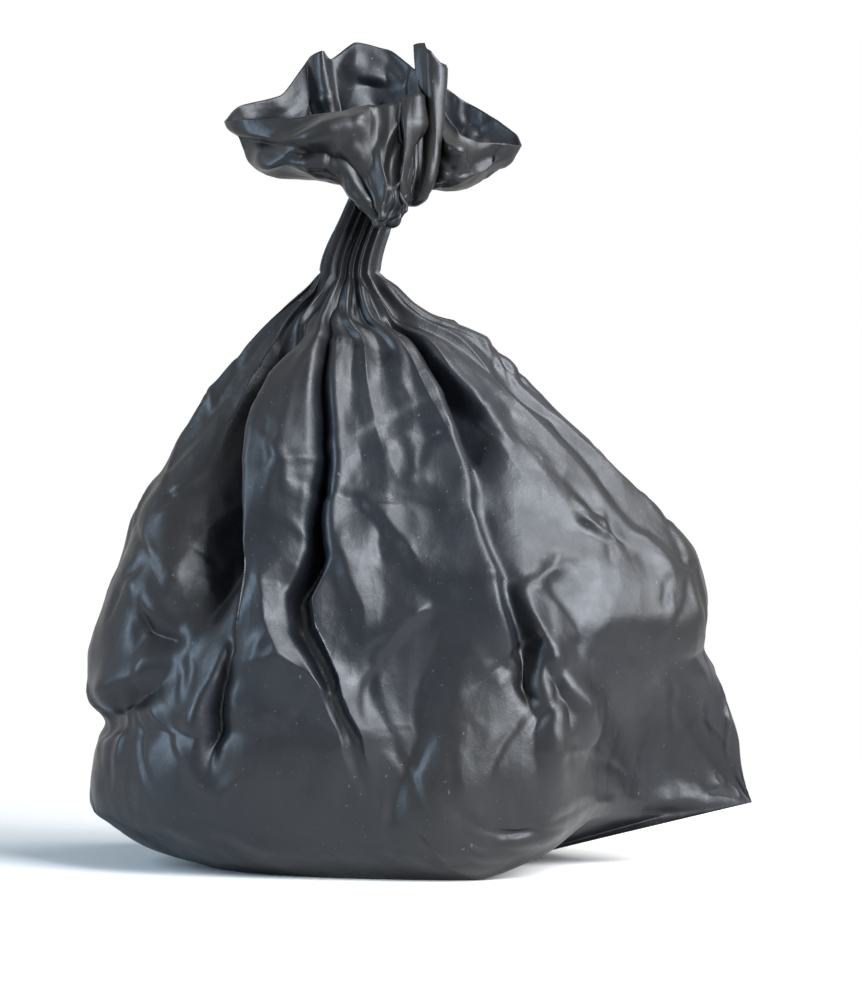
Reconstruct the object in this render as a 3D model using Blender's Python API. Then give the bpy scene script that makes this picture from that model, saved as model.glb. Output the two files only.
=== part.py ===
"""A full bin bag, standing on its base with its neck up.

The liner is one folded film, sealed across the bottom, gathered at the neck and flared open at
the mouth. It is modelled as one closed skin, and every point of that skin is worked out from two
numbers: an angle round the bag, counted from the middle of the front towards +X, and how far
down the film the point lies. Lengths are in metres, +Z is up and the front faces -Y.
"""
import math

import bmesh
import bpy
import numpy as np

NAME = "bin_bag"

# Body of the bag
BODY_HALF_WIDTH = 0.2165
BODY_HEIGHT = 0.3835
BODY_HALF_DEPTH = 0.125
EAR_LIFT = 0.040
EAR_HALF_THICKNESS = 0.0025
CONTENT_BULGE = 0.006

# Gathered neck: the foot is where the pleats leave it, the throat where the mouth opens
NECK_RADIUS = 0.018
NECK_HEIGHT = 0.0585
NECK_SIDE_SHIFT = -0.0455
THROAT_RADIUS = 0.015
THROAT_SIDE_SHIFT = -0.029
THROAT_PIT = 0.004
GATHER_COUNT = 18
GATHER_HEIGHT = 0.0022

# Flared mouth
MOUTH_REACH = 0.098
MOUTH_DEPTH = 0.058
MOUTH_RISE = 0.095
FILM_THICKNESS = 0.0016

# Creases in the film: heights and spreads in the lists of folds count in steps of FOLD_STEP
FOLD_STEP = 0.001
CREASE_RADIUS = 0.003
FOLD_ROOM_AT_NECK = 0.3
FOLDS_BEGIN = 0.05
FOLDS_END = 0.985
GATHERS_END = 0.42
BACK_FOLD_SPREAD = 0.011
BACK_FOLD_SHARP_SHARE = 0.55
BACK_GROOVE_TURN = 6
MOUTH_PLEAT_COUNT = 14
MOUTH_PLEAT_HEIGHT = 0.0012
MOUTH_CRISPNESS = 0.5

# Fineness of the skin before it is thinned, and what is left of it. The mouth's film gets its
# thickness along normals that are averaged with their neighbours NORMAL_EVENING times, so that
# its two faces stay apart in the sharp turns.
COLUMNS = 224
MOUTH_ROWS = 40
NECK_ROWS = 14
BODY_ROWS = 130
BASE_ROWS = 12
KEPT_SHARE = 0.109
NORMAL_EVENING = 8
FLOOR_EVENING = 0.0003

# Half width to the left of the neck against the share of the way down: 0 at the neck, 1 at the widest
LEFT_OUTLINE = [
    (0.0, 0.0), (0.09, 0.25), (0.22, 0.52), (0.32, 0.66), (0.4, 0.8), (0.45, 0.85), (0.55, 0.945),
    (0.65, 0.99), (0.72, 0.98), (0.76, 0.93), (0.785, 0.96), (0.87, 1.0), (0.905, 0.985), (0.93, 0.9),
    (0.966, 0.74), (1.0, 0.5),
]
RIGHT_OUTLINE = [
    (0.0, 0.0), (0.076, 0.125), (0.114, 0.26), (0.2, 0.405), (0.275, 0.525), (0.35, 0.645), (0.436, 0.75),
    (0.5, 0.83), (0.56, 0.86), (0.616, 0.877), (0.68, 0.87), (0.73, 0.9), (0.843, 0.938), (0.94, 0.97),
    (1.0, 1.0),
]
DEPTH_OUTLINE = [
    (0.0, 0.0), (0.1, 0.16), (0.3, 0.58), (0.5, 0.81), (0.7, 0.97), (0.82, 1.0), (0.93, 0.9), (1.0, 0.62),
]
# Lift of the bottom edge against the place across the bag, as a share of EAR_LIFT
HEM_LIFT = [(-1.0, 0.0), (0.15, 0.0), (0.35, 0.35), (0.55, 0.92), (0.69, 0.78), (0.84, 0.85), (1.0, 1.0)]

# Rim of the mouth and the belly of the film below it, from the left tip over the back to the right
# tip and round the front: shares of the reach, depth and rise from the middle of the throat
MOUTH_STATIONS = [
    ((-1.00, 0.00, 0.43), (-0.86, 0.00, -0.08)),
    ((-0.90, 0.48, 0.55), (-0.77, 0.55, -0.04)),
    ((-0.63, 0.66, 0.63), (-0.53, 0.83, 0.00)),
    ((-0.47, 0.86, 0.86), (-0.39, 0.90, 0.11)),
    ((-0.36, 0.62, 0.93), (-0.27, 0.69, 0.21)),
    ((-0.30, 0.91, 0.88), (-0.22, 1.00, 0.23)),
    ((-0.14, 1.00, 1.00), (-0.10, 1.07, 0.26)),
    ((0.08, 1.00, 0.95), (0.06, 1.10, 0.26)),
    ((0.22, 0.86, 0.84), (0.17, 0.92, 0.27)),
    ((0.33, 0.72, 0.76), (0.24, 0.80, 0.22)),
    ((0.45, 0.64, 0.68), (0.33, 0.70, 0.12)),
    ((0.56, 0.58, 0.60), (0.42, 0.64, 0.03)),
    ((0.68, 0.52, 0.53), (0.54, 0.58, -0.05)),
    ((0.80, 0.42, 0.45), (0.66, 0.48, -0.10)),
    ((0.91, 0.25, 0.36), (0.77, 0.28, -0.17)),
    ((0.95, -0.03, 0.27), (0.82, -0.03, -0.21)),
    ((0.86, -0.32, 0.27), (0.71, -0.48, -0.19)),
    ((0.68, -0.45, 0.29), (0.60, -0.70, -0.18)),
    ((0.55, -0.48, 0.36), (0.54, -0.80, -0.12)),
    ((0.41, -0.27, 0.56), (0.40, -0.54, 0.00)),
    ((0.43, -0.46, 0.78), (0.45, -0.98, -0.44)),
    ((0.36, -0.34, 0.93), (0.40, -1.03, -0.48)),
    ((0.26, -0.24, 0.92), (0.34, -0.98, -0.38)),
    ((0.26, -0.46, 0.68), (0.28, -1.02, -0.50)),
    ((0.27, -0.62, 0.58), (0.24, -1.33, -0.74)),
    ((0.17, -0.58, 0.54), (0.15, -1.29, -0.72)),
    ((0.08, -0.62, 0.51), (0.05, -1.34, -0.76)),
    ((-0.04, -0.64, 0.49), (-0.08, -1.25, -0.44)),
    ((-0.20, -0.68, 0.48), (-0.24, -1.08, -0.10)),
    ((-0.40, -0.66, 0.46), (-0.40, -1.00, -0.03)),
    ((-0.62, -0.55, 0.45), (-0.56, -0.95, -0.02)),
    ((-0.86, -0.34, 0.44), (-0.73, -0.52, -0.04)),
]
FIRST_STATION_ANGLE = -90.0

# Folds of the front: the route as (degrees round, share down), the height of the crease over the
# film (a valley is negative), how far it spreads to its left and right, and the share of its height
# by which it leans right
FRONT_FOLDS = {
    "left hollow": ([(-27, 0.08), (-42, 0.174), (-43, 0.26), (-41, 0.343), (-37.5, 0.424),
        (-38, 0.506), (-41, 0.611)], -60, 36, 11, 0),
    "left shoulder": ([(-69, 0.104), (-58.5, 0.214), (-72, 0.34), (-75, 0.431),
        (-75, 0.48)], 8, 7, 16, 0),
    "pleat edge": ([(-17.5, 0.04), (-29, 0.134), (-31.5, 0.186), (-33, 0.251), (-32.5, 0.325),
        (-29, 0.406), (-29, 0.473), (-29, 0.537), (-29, 0.619), (-32, 0.7),
        (-38, 0.775)], 17, 4, 30, -0.3),
    "bright ridge": ([(-14.5, 0.052), (-17.5, 0.144), (-16, 0.201), (-15, 0.251), (-17.5, 0.3),
        (-17, 0.374), (-17, 0.439)], 12, 20, 4, 0.5),
    "fold-back": ([(-15.5, 0.439), (-21.5, 0.465), (-25, 0.512), (-23.5, 0.578), (-21, 0.625),
        (-15.5, 0.659), (-11, 0.698), (-10, 0.771), (-7, 0.86)], 12, 12, 7, 0.2),
    "black valley": ([(-10.5, 0.052), (-16, 0.119), (-13.5, 0.249), (-14, 0.374), (-14.5, 0.465),
        (-17.5, 0.536), (-16.5, 0.588), (-12, 0.665), (-11, 0.754),
        (-6.5, 0.87)], -40, 5, 4, 0),
    "right lobe": ([(-6, 0.052), (-13, 0.119), (-12, 0.249), (-12.5, 0.479), (-16, 0.544),
        (-15, 0.585), (-10.5, 0.661), (-9.5, 0.755), (-5.5, 0.853)], 12, 3, 34, 0),
    "neck groove a": ([(1.5, 0.043), (-5, 0.106), (-3.5, 0.134)], -7, 4, 3, 0),
    "neck pleat a": ([(12, 0.043), (5, 0.094), (0, 0.136), (-2, 0.21)], 7, 3, 6, 0),
    "neck pleat b": ([(-3, 0.043), (-9, 0.126), (-9, 0.242)], 6, 4, 4, 0),
    "neck pleat c": ([(28.5, 0.04), (15, 0.106), (11, 0.196), (11.5, 0.226),
        (9, 0.275)], 7, 8, 4, 0),
    "neck groove b": ([(35, 0.043), (18.5, 0.11), (14.5, 0.196), (12, 0.259)], -6, 4, 6, 0),
    "small tuck, left": ([(2, 0.275), (1, 0.315), (2, 0.34), (4, 0.369)], 5, 5, 3, 0),
    "small tuck, right": ([(9.5, 0.275), (7, 0.315), (4.5, 0.369)], 5, 3, 6, 0),
    "long ridge": ([(28, 0.052), (24, 0.13), (24, 0.205), (21, 0.284), (19, 0.328), (17, 0.38),
        (16, 0.468), (16.5, 0.555), (19, 0.621), (22, 0.746)], 15, 26, 5, 0.4),
    "long valley": ([(36, 0.058), (27, 0.126), (27, 0.205), (24, 0.275), (20.5, 0.335), (19, 0.39),
        (18, 0.465), (19, 0.545), (20, 0.594)], -17, 4, 13, 0),
    "pocket lip": ([(41.5, 0.066), (34, 0.135), (39, 0.194), (41, 0.235),
        (42, 0.26)], 12, 4, 24, -0.3),
    "shoulder pocket": ([(33, 0.074), (28, 0.144), (33, 0.204), (37, 0.242),
        (38, 0.274)], -10, 7, 4, 0),
    "pocket corner": ([(43.5, 0.26), (34, 0.292), (20, 0.328)], 5, 5, 8, 0),
    "rolled edge": ([(75, 0.08), (74, 0.16), (75, 0.24), (74, 0.32), (78, 0.42),
        (82, 0.52)], 8, 6, 5, 0),
    "rolled groove": ([(53, 0.104), (62, 0.177), (70.5, 0.246), (64.5, 0.384),
        (65, 0.482)], -7, 5, 7, 0),
    "plane edge": ([(45, 0.264), (43, 0.33), (45, 0.395), (57, 0.386)], 5, 10, 8, 0),
    "left finger": ([(22, 0.542), (24.5, 0.601), (27, 0.662), (24, 0.745)], 10, 4, 5, 0),
    "middle finger": ([(27.5, 0.649), (26.5, 0.726), (25, 0.84)], 8, 6, 6, 0),
    "right finger": ([(23, 0.544), (29, 0.614), (31.5, 0.73), (32, 0.839)], 11, 7, 5, 0),
    "swoosh": ([(23, 0.547), (29.5, 0.565), (35, 0.621)], -6, 5, 6, 0),
    "slant crease": ([(33, 0.482), (26, 0.5), (20, 0.521)], -5, 6, 5, 0),
    "left pinch, upper": ([(-74.5, 0.482), (-55, 0.545), (-42, 0.61)], 6, 6, 5, 0),
    "left pinch, lower": ([(-78, 0.716), (-55, 0.667), (-42, 0.61)], 9, 7, 10, 0),
    "left pinch, hollow": ([(-60.5, 0.586), (-49.5, 0.6), (-42, 0.613)], -10, 10, 8, 0),
    "left notch": ([(-95, 0.781), (-65.5, 0.741), (-51, 0.689), (-42, 0.625)], -10, 6, 8, 0),
    "foot ridge": ([(-30.5, 0.537), (-35.5, 0.67), (-41, 0.748),
        (-38.5, 0.833)], 12, 12, 5, 0),
    "foot groove": ([(-29, 0.57), (-32, 0.67), (-38, 0.768), (-37, 0.841)], -15, 4, 7, 0),
    "foot crease": ([(-43, 0.807), (-39, 0.84), (-32, 0.878)], 5, 4, 5, 0),
    "seal tuck, right": ([(3, 0.949), (13, 0.934), (23, 0.948), (31.5, 0.975),
        (47, 0.943)], -5, 4, 4, 0),
    "seal tuck, left": ([(-71, 0.936), (-49, 0.95), (-31, 0.951)], -5, 5, 5, 0),
    "soft ridge": ([(6, 0.763), (3, 0.844), (-3, 0.927)], 7, 25, 25, 0),
    "soft valley": ([(1.5, 0.696), (-3, 0.811), (-7, 0.927)], -7, 18, 20, 0),
    "soft dent": ([(11, 0.795), (13.5, 0.899)], -4, 14, 14, 0),
    "slant band": ([(-10, 0.354), (-6, 0.366), (-1, 0.403), (2, 0.445), (3.5, 0.494),
        (5.5, 0.527)], 4, 4, 4, 0),
    "pale streak": ([(-8, 0.403), (-10, 0.45), (-9, 0.501), (-6, 0.554),
        (-6, 0.596)], 5, 5, 9, 0),
    "small pinch": ([(-2, 0.6), (1.5, 0.573), (5, 0.55)], 5, 3, 5, 0),
    "right step": ([(42, 0.723), (51, 0.726), (57.5, 0.679), (89, 0.679)], 5, 7, 10, 0),
    "right line": ([(63, 0.429), (61.5, 0.479), (64.5, 0.547)], 4, 5, 5, 0),
}
# Long folds of the back, which fall from the neck: (degrees at the neck, degrees at the foot, share
# down where it ends, height); each is a ridge with a groove beside it
BACK_FOLDS = [
    (104, 112, 0.62, 10), (122, 134, 0.86, 13), (139, 150, 0.55, 12), (152, 163, 0.9, 16),
    (167, 171, 0.48, 11), (180, 186, 0.8, 14), (195, 199, 0.6, 12), (208, 214, 0.92, 15),
    (222, 226, 0.52, 10), (235, 243, 0.78, 13), (250, 256, 0.58, 9),
]


def smooth_step(share):
    """Eases from 0 to 1 with level ends."""
    share = np.clip(share, 0.0, 1.0)
    return share * share * (3.0 - 2.0 * share)


def through(stations, where):
    """Height at `where` of a smooth curve through (place, height) stations that never overshoots."""
    place, height = np.array(stations, float).T
    run = np.diff(place)
    slope = np.diff(height) / run
    one_way = slope[1:] * slope[:-1] > 0
    near = 2 * run[1:] + run[:-1]
    far = run[1:] + 2 * run[:-1]
    safe = np.where(slope == 0, 1.0, slope)
    inner = np.where(one_way, (near + far) / (near / safe[:-1] + far / safe[1:]), 0.0)
    tangent = np.concatenate([slope[:1], inner, slope[-1:]])
    where = np.clip(where, place[0], place[-1])
    cell = np.clip(np.searchsorted(place, where) - 1, 0, len(run) - 1)
    t = (where - place[cell]) / run[cell]
    rise = height[cell + 1] - height[cell]
    ease = t * t * (3 - 2 * t)
    pull_in = t * (1 - t) * (1 - t) * run[cell] * tangent[cell]
    pull_out = t * t * (t - 1) * run[cell] * tangent[cell + 1]
    return height[cell] + rise * ease + pull_in + pull_out


def spline_between(before, here, after, beyond, t):
    """Catmull-Rom curve from `here` (t = 0) to `after` (t = 1)."""
    bend = 2 * before - 5 * here + 4 * after - beyond
    twist = 3 * here - before - 3 * after + beyond
    return here + ((after - before) * t + bend * t ** 2 + twist * t ** 3) / 2


def ring_spline(points, where):
    """Closed curve through `points`, read at `where` in steps of one point."""
    points = np.array(points, float)
    cell = np.floor(where).astype(int)
    around = (points[(cell + step) % len(points)] for step in (-1, 0, 1, 2))
    return spline_between(*around, (where - cell)[..., None])


def ring_folds(points, where):
    """Closed row of points joined by straight runs, read at `where` in steps of one point."""
    points = np.array(points, float)
    cell = np.floor(where).astype(int)
    share = (where - cell)[..., None]
    return points[cell % len(points)] * (1 - share) + points[(cell + 1) % len(points)] * share


def ring_film(points, where):
    """Between straight runs and a smooth curve: film that has been creased at the points."""
    smooth = ring_spline(points, where)
    return smooth + (ring_folds(points, where) - smooth) * MOUTH_CRISPNESS


def open_spline(points, steps):
    """Curve through an open row of points, which runs on straight past both ends."""
    points = np.array(points, float)
    row = np.vstack([2 * points[0] - points[1], points, 2 * points[-1] - points[-2]])
    t = np.linspace(0.0, 1.0, steps, endpoint=False)[:, None]
    spots = [spline_between(*row[cell:cell + 4], t) for cell in range(len(points) - 1)]
    return np.vstack(spots + [points[-1:]])


def neck_sides():
    """Left and right edges of the neck's foot, in x."""
    return NECK_SIDE_SHIFT - NECK_RADIUS, NECK_SIDE_SHIFT + NECK_RADIUS


def body_half_size(down):
    """Middle in x, half width and half depth of the bag at each share of the way down."""
    neck_left, neck_right = neck_sides()
    left = neck_left + through(LEFT_OUTLINE, down) * (-BODY_HALF_WIDTH - neck_left)
    right = neck_right + through(RIGHT_OUTLINE, down) * (BODY_HALF_WIDTH - neck_right)
    depth = NECK_RADIUS + through(DEPTH_OUTLINE, down) * (BODY_HALF_DEPTH - NECK_RADIUS)
    return (left + right) / 2, (right - left) / 2, depth


def ear_flatness(across, down):
    """How far the film is pressed flat towards the loose corner: 0 on the body, 1 at the corner."""
    return smooth_step((down - 0.6) / 0.35) * smooth_step((across - 0.35) / 0.4)


def plain_body(angle, down):
    """The filled body with no folds: an oval round the neck that fans out and rounds in at the foot."""
    middle, half_width, half_depth = body_half_size(down)
    x = middle + half_width * np.sin(angle)
    across = x / BODY_HALF_WIDTH
    flat = ear_flatness(across, down)
    thickness = half_depth * (1 - flat) + EAR_HALF_THICKNESS * flat
    y = -thickness * np.cos(angle)
    lift = EAR_LIFT * through(HEM_LIFT, across) * smooth_step(down / 0.9)
    z = BODY_HEIGHT + (lift - BODY_HEIGHT) * down
    return np.stack([x, y, z], axis=-1)


def outward(points):
    """Unit normals of a closed-round grid of points, rows running down and columns round."""
    down = np.gradient(points, axis=0)
    round_film = np.roll(points, -1, axis=1) - np.roll(points, 1, axis=1)
    normal = np.cross(down, round_film)
    length = np.linalg.norm(normal, axis=-1, keepdims=True)
    return normal / np.maximum(length, 1e-9)


def film_plane(angle, down):
    """Lays a point of the body out flat, in metres along the film: round from the front, and down."""
    _, half_width, half_depth = body_half_size(down)
    girth_radius = np.sqrt((half_width ** 2 + half_depth ** 2) / 2)
    return np.stack([angle * girth_radius, down * BODY_HEIGHT], axis=-1)


def fold_room(down):
    """How wide and high a fold may be at each share of the way down: least at the neck, 1 below."""
    return FOLD_ROOM_AT_NECK + (1 - FOLD_ROOM_AT_NECK) * smooth_step(down / 0.3)


def fold_profile(plane, route, spread_left, spread_right):
    """Shape of one crease over the flat film: 1 on its route, falling away to each side.

    For each point the nearest spot of the route is found. The fall is exponential in the distance,
    rounded over CREASE_RADIUS at the crease itself, and the crease dies out towards both ends.
    """
    room = fold_room(plane[..., 1] / BODY_HEIGHT)
    degrees, down = open_spline(route, 6).T
    spots = film_plane(np.radians(degrees), down)
    lengths = np.linalg.norm(np.diff(spots, axis=0), axis=1)
    total = lengths.sum()
    best = np.full(plane.shape[:2], np.inf)
    side = np.zeros(plane.shape[:2])
    along = np.zeros(plane.shape[:2])
    start = 0.0
    for head, tail, length in zip(spots[:-1], spots[1:], lengths):
        way = (tail - head) / length
        offset = plane - head
        reach = np.clip(offset @ way, 0.0, length)
        gap = offset - reach[..., None] * way
        distance = np.hypot(gap[..., 0], gap[..., 1])
        nearer = distance < best
        best = np.where(nearer, distance, best)
        side = np.where(nearer, way[1] * gap[..., 0] - way[0] * gap[..., 1], side)
        along = np.where(nearer, (start + reach) / total, along)
        start += length
    spread = np.where(side > 0, spread_right, spread_left) * room
    fall = np.exp(-(np.hypot(best, CREASE_RADIUS) - CREASE_RADIUS) / spread)
    return room * fall * smooth_step(along / 0.15) * smooth_step((1 - along) / 0.1)


def fold_relief(angle, down):
    """Height of all the folds over the plain body, and how far they lean to the right."""
    plane = film_plane(angle, down)
    height = np.zeros(angle.shape)
    lean = np.zeros(angle.shape)
    for route, rise, spread_left, spread_right, slant in FRONT_FOLDS.values():
        profile = fold_profile(plane, route, spread_left * FOLD_STEP, spread_right * FOLD_STEP)
        shape = rise * FOLD_STEP * profile
        height += shape
        lean += slant * shape
    from_back = np.where(angle < 0, angle + math.pi, angle - math.pi)
    plane = film_plane(from_back, down)
    sharp = BACK_FOLD_SPREAD * BACK_FOLD_SHARP_SHARE
    for top, foot, end, rise in BACK_FOLDS:
        route = [(top - 180, FOLDS_BEGIN), ((top + foot) / 2 - 180, end / 2), (foot - 180, end)]
        groove = [(degrees + BACK_GROOVE_TURN, share) for degrees, share in route]
        ridge = fold_profile(plane, route, BACK_FOLD_SPREAD, sharp)
        valley = fold_profile(plane, groove, sharp, BACK_FOLD_SPREAD)
        height += rise * FOLD_STEP * (ridge - valley)
    return height, lean


def gathers(angle, strength):
    """Small pleats of the film round the neck, sharper outside than inside."""
    wave = np.abs(np.sin(angle * GATHER_COUNT / 2 + 0.6 * np.sin(3 * angle)))
    return GATHER_HEIGHT * (0.5 - wave) * 2 * strength


def content_bumps(angle, down):
    """Slow swellings of the film over what is inside."""
    swell = (np.sin(2.0 * angle + 9.0 * down) * np.sin(3.0 * angle - 7.0 * down + 1.0)
             + 0.6 * np.sin(5.0 * angle + 11.0 * down + 2.0))
    return CONTENT_BULGE * swell * smooth_step((down - 0.3) / 0.3) * smooth_step((0.95 - down) / 0.2)


def folded_body(angle, down):
    """The body with its folds, pleats and bumps, kept on or above the floor."""
    points = plain_body(angle, down)
    normal = outward(points)
    sideways = np.cross(normal, np.gradient(points, axis=0))
    sideways /= np.maximum(np.linalg.norm(sideways, axis=-1, keepdims=True), 1e-9)
    across = points[..., 0] / BODY_HALF_WIDTH
    loose = smooth_step((FOLDS_END - down) / 0.06) * smooth_step(down / FOLDS_BEGIN)
    loose = loose * (1 - ear_flatness(across, down))
    height, lean = fold_relief(angle, down)
    height += content_bumps(angle, down)
    pleats = gathers(angle, smooth_step((GATHERS_END - down) / 0.3))
    points = points + normal * (height * loose + pleats)[..., None]
    points = points + sideways * (lean * loose)[..., None]
    points[..., 2] = np.maximum(points[..., 2], 0.0)
    return points


def throat_centre():
    """Middle of the ring where the mouth opens."""
    return np.array([THROAT_SIDE_SHIFT, 0.0, BODY_HEIGHT + NECK_HEIGHT])


def mouth_surface(angle, along):
    """Middle of the mouth's film: each spoke is a quadratic curve, throat to belly to rim."""
    station = (FIRST_STATION_ANGLE - np.degrees(angle)) % 360.0 / 360.0 * len(MOUTH_STATIONS)
    size = np.array([MOUTH_REACH, MOUTH_DEPTH, MOUTH_RISE])
    rim = ring_film([rim for rim, _ in MOUTH_STATIONS], station) * size
    belly = ring_film([belly for _, belly in MOUTH_STATIONS], station) * size
    ring = np.stack([np.sin(angle), -np.cos(angle), np.zeros(angle.shape)], axis=-1)
    throat = ring * THROAT_RADIUS
    along = along[..., None]
    curve = (1 - along) ** 2 * throat + 2 * along * (1 - along) * belly + along ** 2 * rim
    return throat_centre() + curve


def mouth_pleats(angle, along):
    """Sharp pleats that leave the throat and flatten towards the rim."""
    wave = np.abs(np.sin(angle * MOUTH_PLEAT_COUNT / 2 + 1.7 * np.sin(2 * angle + 0.5)))
    return MOUTH_PLEAT_HEIGHT * (1 - 2 * wave) * smooth_step(along / 0.6) * (1 - 0.8 * along)


def mouth_faces(angle, along):
    """Inner and outer face of the mouth's film, half its thickness to each side of its middle."""
    middle = mouth_surface(angle, along)
    middle = middle - outward(middle) * mouth_pleats(angle, along)[..., None]
    normal = -outward(middle)
    for _ in range(NORMAL_EVENING):
        normal = (np.roll(normal, 1, axis=1) + 2 * normal + np.roll(normal, -1, axis=1)) / 4
    half = FILM_THICKNESS / 2 * normal
    return middle - half, middle + half


def neck_surface(angle, share):
    """The gathered neck, from the throat (share 0) to its foot (share 1)."""
    ease = smooth_step(share)
    outer_throat = THROAT_RADIUS + FILM_THICKNESS / 2
    radius = outer_throat + (NECK_RADIUS - outer_throat) * ease + gathers(angle, smooth_step(share / 0.3))
    centre = THROAT_SIDE_SHIFT + (NECK_SIDE_SHIFT - THROAT_SIDE_SHIFT) * ease
    z = BODY_HEIGHT + NECK_HEIGHT * (1 - share)
    return np.stack([centre + radius * np.sin(angle), -radius * np.cos(angle), z], axis=-1)


def base_rows(edge, count):
    """Closes the foot: rows that shrink from the body's last row to the middle of the base."""
    centre = edge.mean(axis=0)
    centre[2] = 0.0
    shares = np.linspace(1.0, 0.0, count + 1)[1:-1]
    rows = centre + (edge - centre) * shares[:, None, None]
    return rows, centre


def skin_rows():
    """Every row of the skin from the throat's pit to the base, and the two end points."""
    angle = (np.arange(COLUMNS) / COLUMNS * 2 - 1) * math.pi
    along = np.linspace(0.0, 1.0, MOUTH_ROWS)
    mouth_angle, mouth_along = np.meshgrid(angle, along)
    inner, outer = mouth_faces(mouth_angle, mouth_along)
    neck_share = np.linspace(0.0, 1.0, NECK_ROWS + 2)[1:-1]
    neck = neck_surface(*np.meshgrid(angle, neck_share))
    down = np.linspace(0.0, 1.0, BODY_ROWS)
    body = folded_body(*np.meshgrid(angle, down))
    base, base_centre = base_rows(body[-1], BASE_ROWS)
    rows = np.concatenate([inner, outer[::-1], neck, body, base])
    pit = throat_centre() - [0.0, 0.0, THROAT_PIT]
    return rows, pit, base_centre


def skin_mesh(rows, top, bottom):
    """A sphere with as many rings and segments as the skin, each vertex moved to its place."""
    ring_count, column_count = rows.shape[:2]
    skin = bmesh.new()
    bmesh.ops.create_uvsphere(skin, u_segments=column_count, v_segments=ring_count + 1, radius=1.0)
    for vertex in skin.verts:
        x, y, z = vertex.co
        ring = round(math.acos(max(-1.0, min(1.0, z))) / math.pi * (ring_count + 1))
        if ring == 0:
            vertex.co = top
        elif ring == ring_count + 1:
            vertex.co = bottom
        else:
            turn = (math.atan2(y, x) / math.tau + 0.25 + 0.5) % 1.0
            vertex.co = rows[ring - 1, round(turn * column_count) % column_count]
    mesh = bpy.data.meshes.new(NAME)
    skin.to_mesh(mesh)
    skin.free()
    return mesh


def film_material():
    """Dark grey polythene with a soft gloss."""
    material = bpy.data.materials.new("dark_film")
    material.use_nodes = True
    shader = material.node_tree.nodes["Principled BSDF"]
    shader.inputs["Base Color"].default_value = (0.035, 0.037, 0.042, 1.0)
    shader.inputs["Roughness"].default_value = 0.38
    shader.inputs["Metallic"].default_value = 0.0
    return material


def clear_scene():
    """Removes whatever the open file holds."""
    for item in list(bpy.data.objects):
        bpy.data.objects.remove(item, do_unlink=True)


def thinned(bag):
    """The bag's mesh after its Decimate modifier, with its foot set back flat on the floor."""
    graph = bpy.context.evaluated_depsgraph_get()
    mesh = bpy.data.meshes.new_from_object(bag.evaluated_get(graph))
    spots = np.empty(len(mesh.vertices) * 3, np.float32)
    mesh.vertices.foreach_get("co", spots)
    spots = spots.reshape(-1, 3)
    low, high = spots.min(axis=0), spots.max(axis=0)
    spots -= [(low[0] + high[0]) / 2, (low[1] + high[1]) / 2, 0.0]
    spots[np.abs(spots[:, 2]) < FLOOR_EVENING, 2] = 0.0
    mesh.vertices.foreach_set("co", spots.ravel())
    mesh.update()
    return mesh


def main():
    clear_scene()
    collection = bpy.data.collections.new("full_bin_bag")
    bpy.context.scene.collection.children.link(collection)
    fine = skin_mesh(*skin_rows())
    bag = bpy.data.objects.new(NAME, fine)
    collection.objects.link(bag)
    thin = bag.modifiers.new("fewer faces", "DECIMATE")
    thin.ratio = KEPT_SHARE
    thin.use_collapse_triangulate = True
    bag.data = thinned(bag)
    bag.modifiers.clear()
    bag.data.name = NAME
    bag.data.materials.append(film_material())
    bag.data.shade_smooth()
    bag.data.set_sharp_from_angle(angle=math.radians(40))


main()
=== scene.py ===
# %% [markdown]
# A full bin bag, in cells.
#
# The real thing is one tube of thin polythene film. It was sealed flat across the bottom, filled,
# gathered at the neck, and its mouth flares open above the neck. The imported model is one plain
# solid of the same form. Here it gets its look: sharp pleats, crumpled film and a soft gloss.
# The frame is loaded first, so that every surface below can be fitted into the solid's own box.

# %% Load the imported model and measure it
import math
import time

import bpy
import numpy as np
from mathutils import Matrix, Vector


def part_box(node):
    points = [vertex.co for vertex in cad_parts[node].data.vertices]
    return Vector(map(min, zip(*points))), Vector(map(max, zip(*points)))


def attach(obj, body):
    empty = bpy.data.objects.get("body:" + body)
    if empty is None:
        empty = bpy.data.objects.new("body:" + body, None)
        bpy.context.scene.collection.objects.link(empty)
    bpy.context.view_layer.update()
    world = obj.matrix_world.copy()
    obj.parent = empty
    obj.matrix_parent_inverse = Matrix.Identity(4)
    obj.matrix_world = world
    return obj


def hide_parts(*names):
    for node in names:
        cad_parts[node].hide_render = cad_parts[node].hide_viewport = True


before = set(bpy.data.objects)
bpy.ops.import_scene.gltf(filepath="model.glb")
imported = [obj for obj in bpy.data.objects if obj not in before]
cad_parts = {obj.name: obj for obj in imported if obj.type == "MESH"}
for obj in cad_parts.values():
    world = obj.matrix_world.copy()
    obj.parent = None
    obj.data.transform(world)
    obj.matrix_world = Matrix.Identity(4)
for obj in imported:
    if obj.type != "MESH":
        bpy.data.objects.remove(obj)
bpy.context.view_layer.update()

scene = bpy.context.scene
BAG_LOW, BAG_HIGH = (np.array(corner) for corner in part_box("bin_bag"))
STARTED = time.time()
print("solid from", BAG_LOW.round(4), "to", BAG_HIGH.round(4))

# %% [markdown]
# Small tools do most of the shaping. A smooth step eases a change in and out. A curve through
# listed stations gives the outline of the bag at any height. A closed row of points, joined
# by a spline or by straight runs, gives the rim of the mouth. All of them take whole arrays, so
# that a surface is worked out in one call.

# %% Curves through stations


def smooth_step(share):
    """3s^2 - 2s^3 for s cut to 0..1: eases from 0 to 1 with level ends."""
    share = np.clip(share, 0.0, 1.0)
    return share * share * (3.0 - 2.0 * share)


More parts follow.
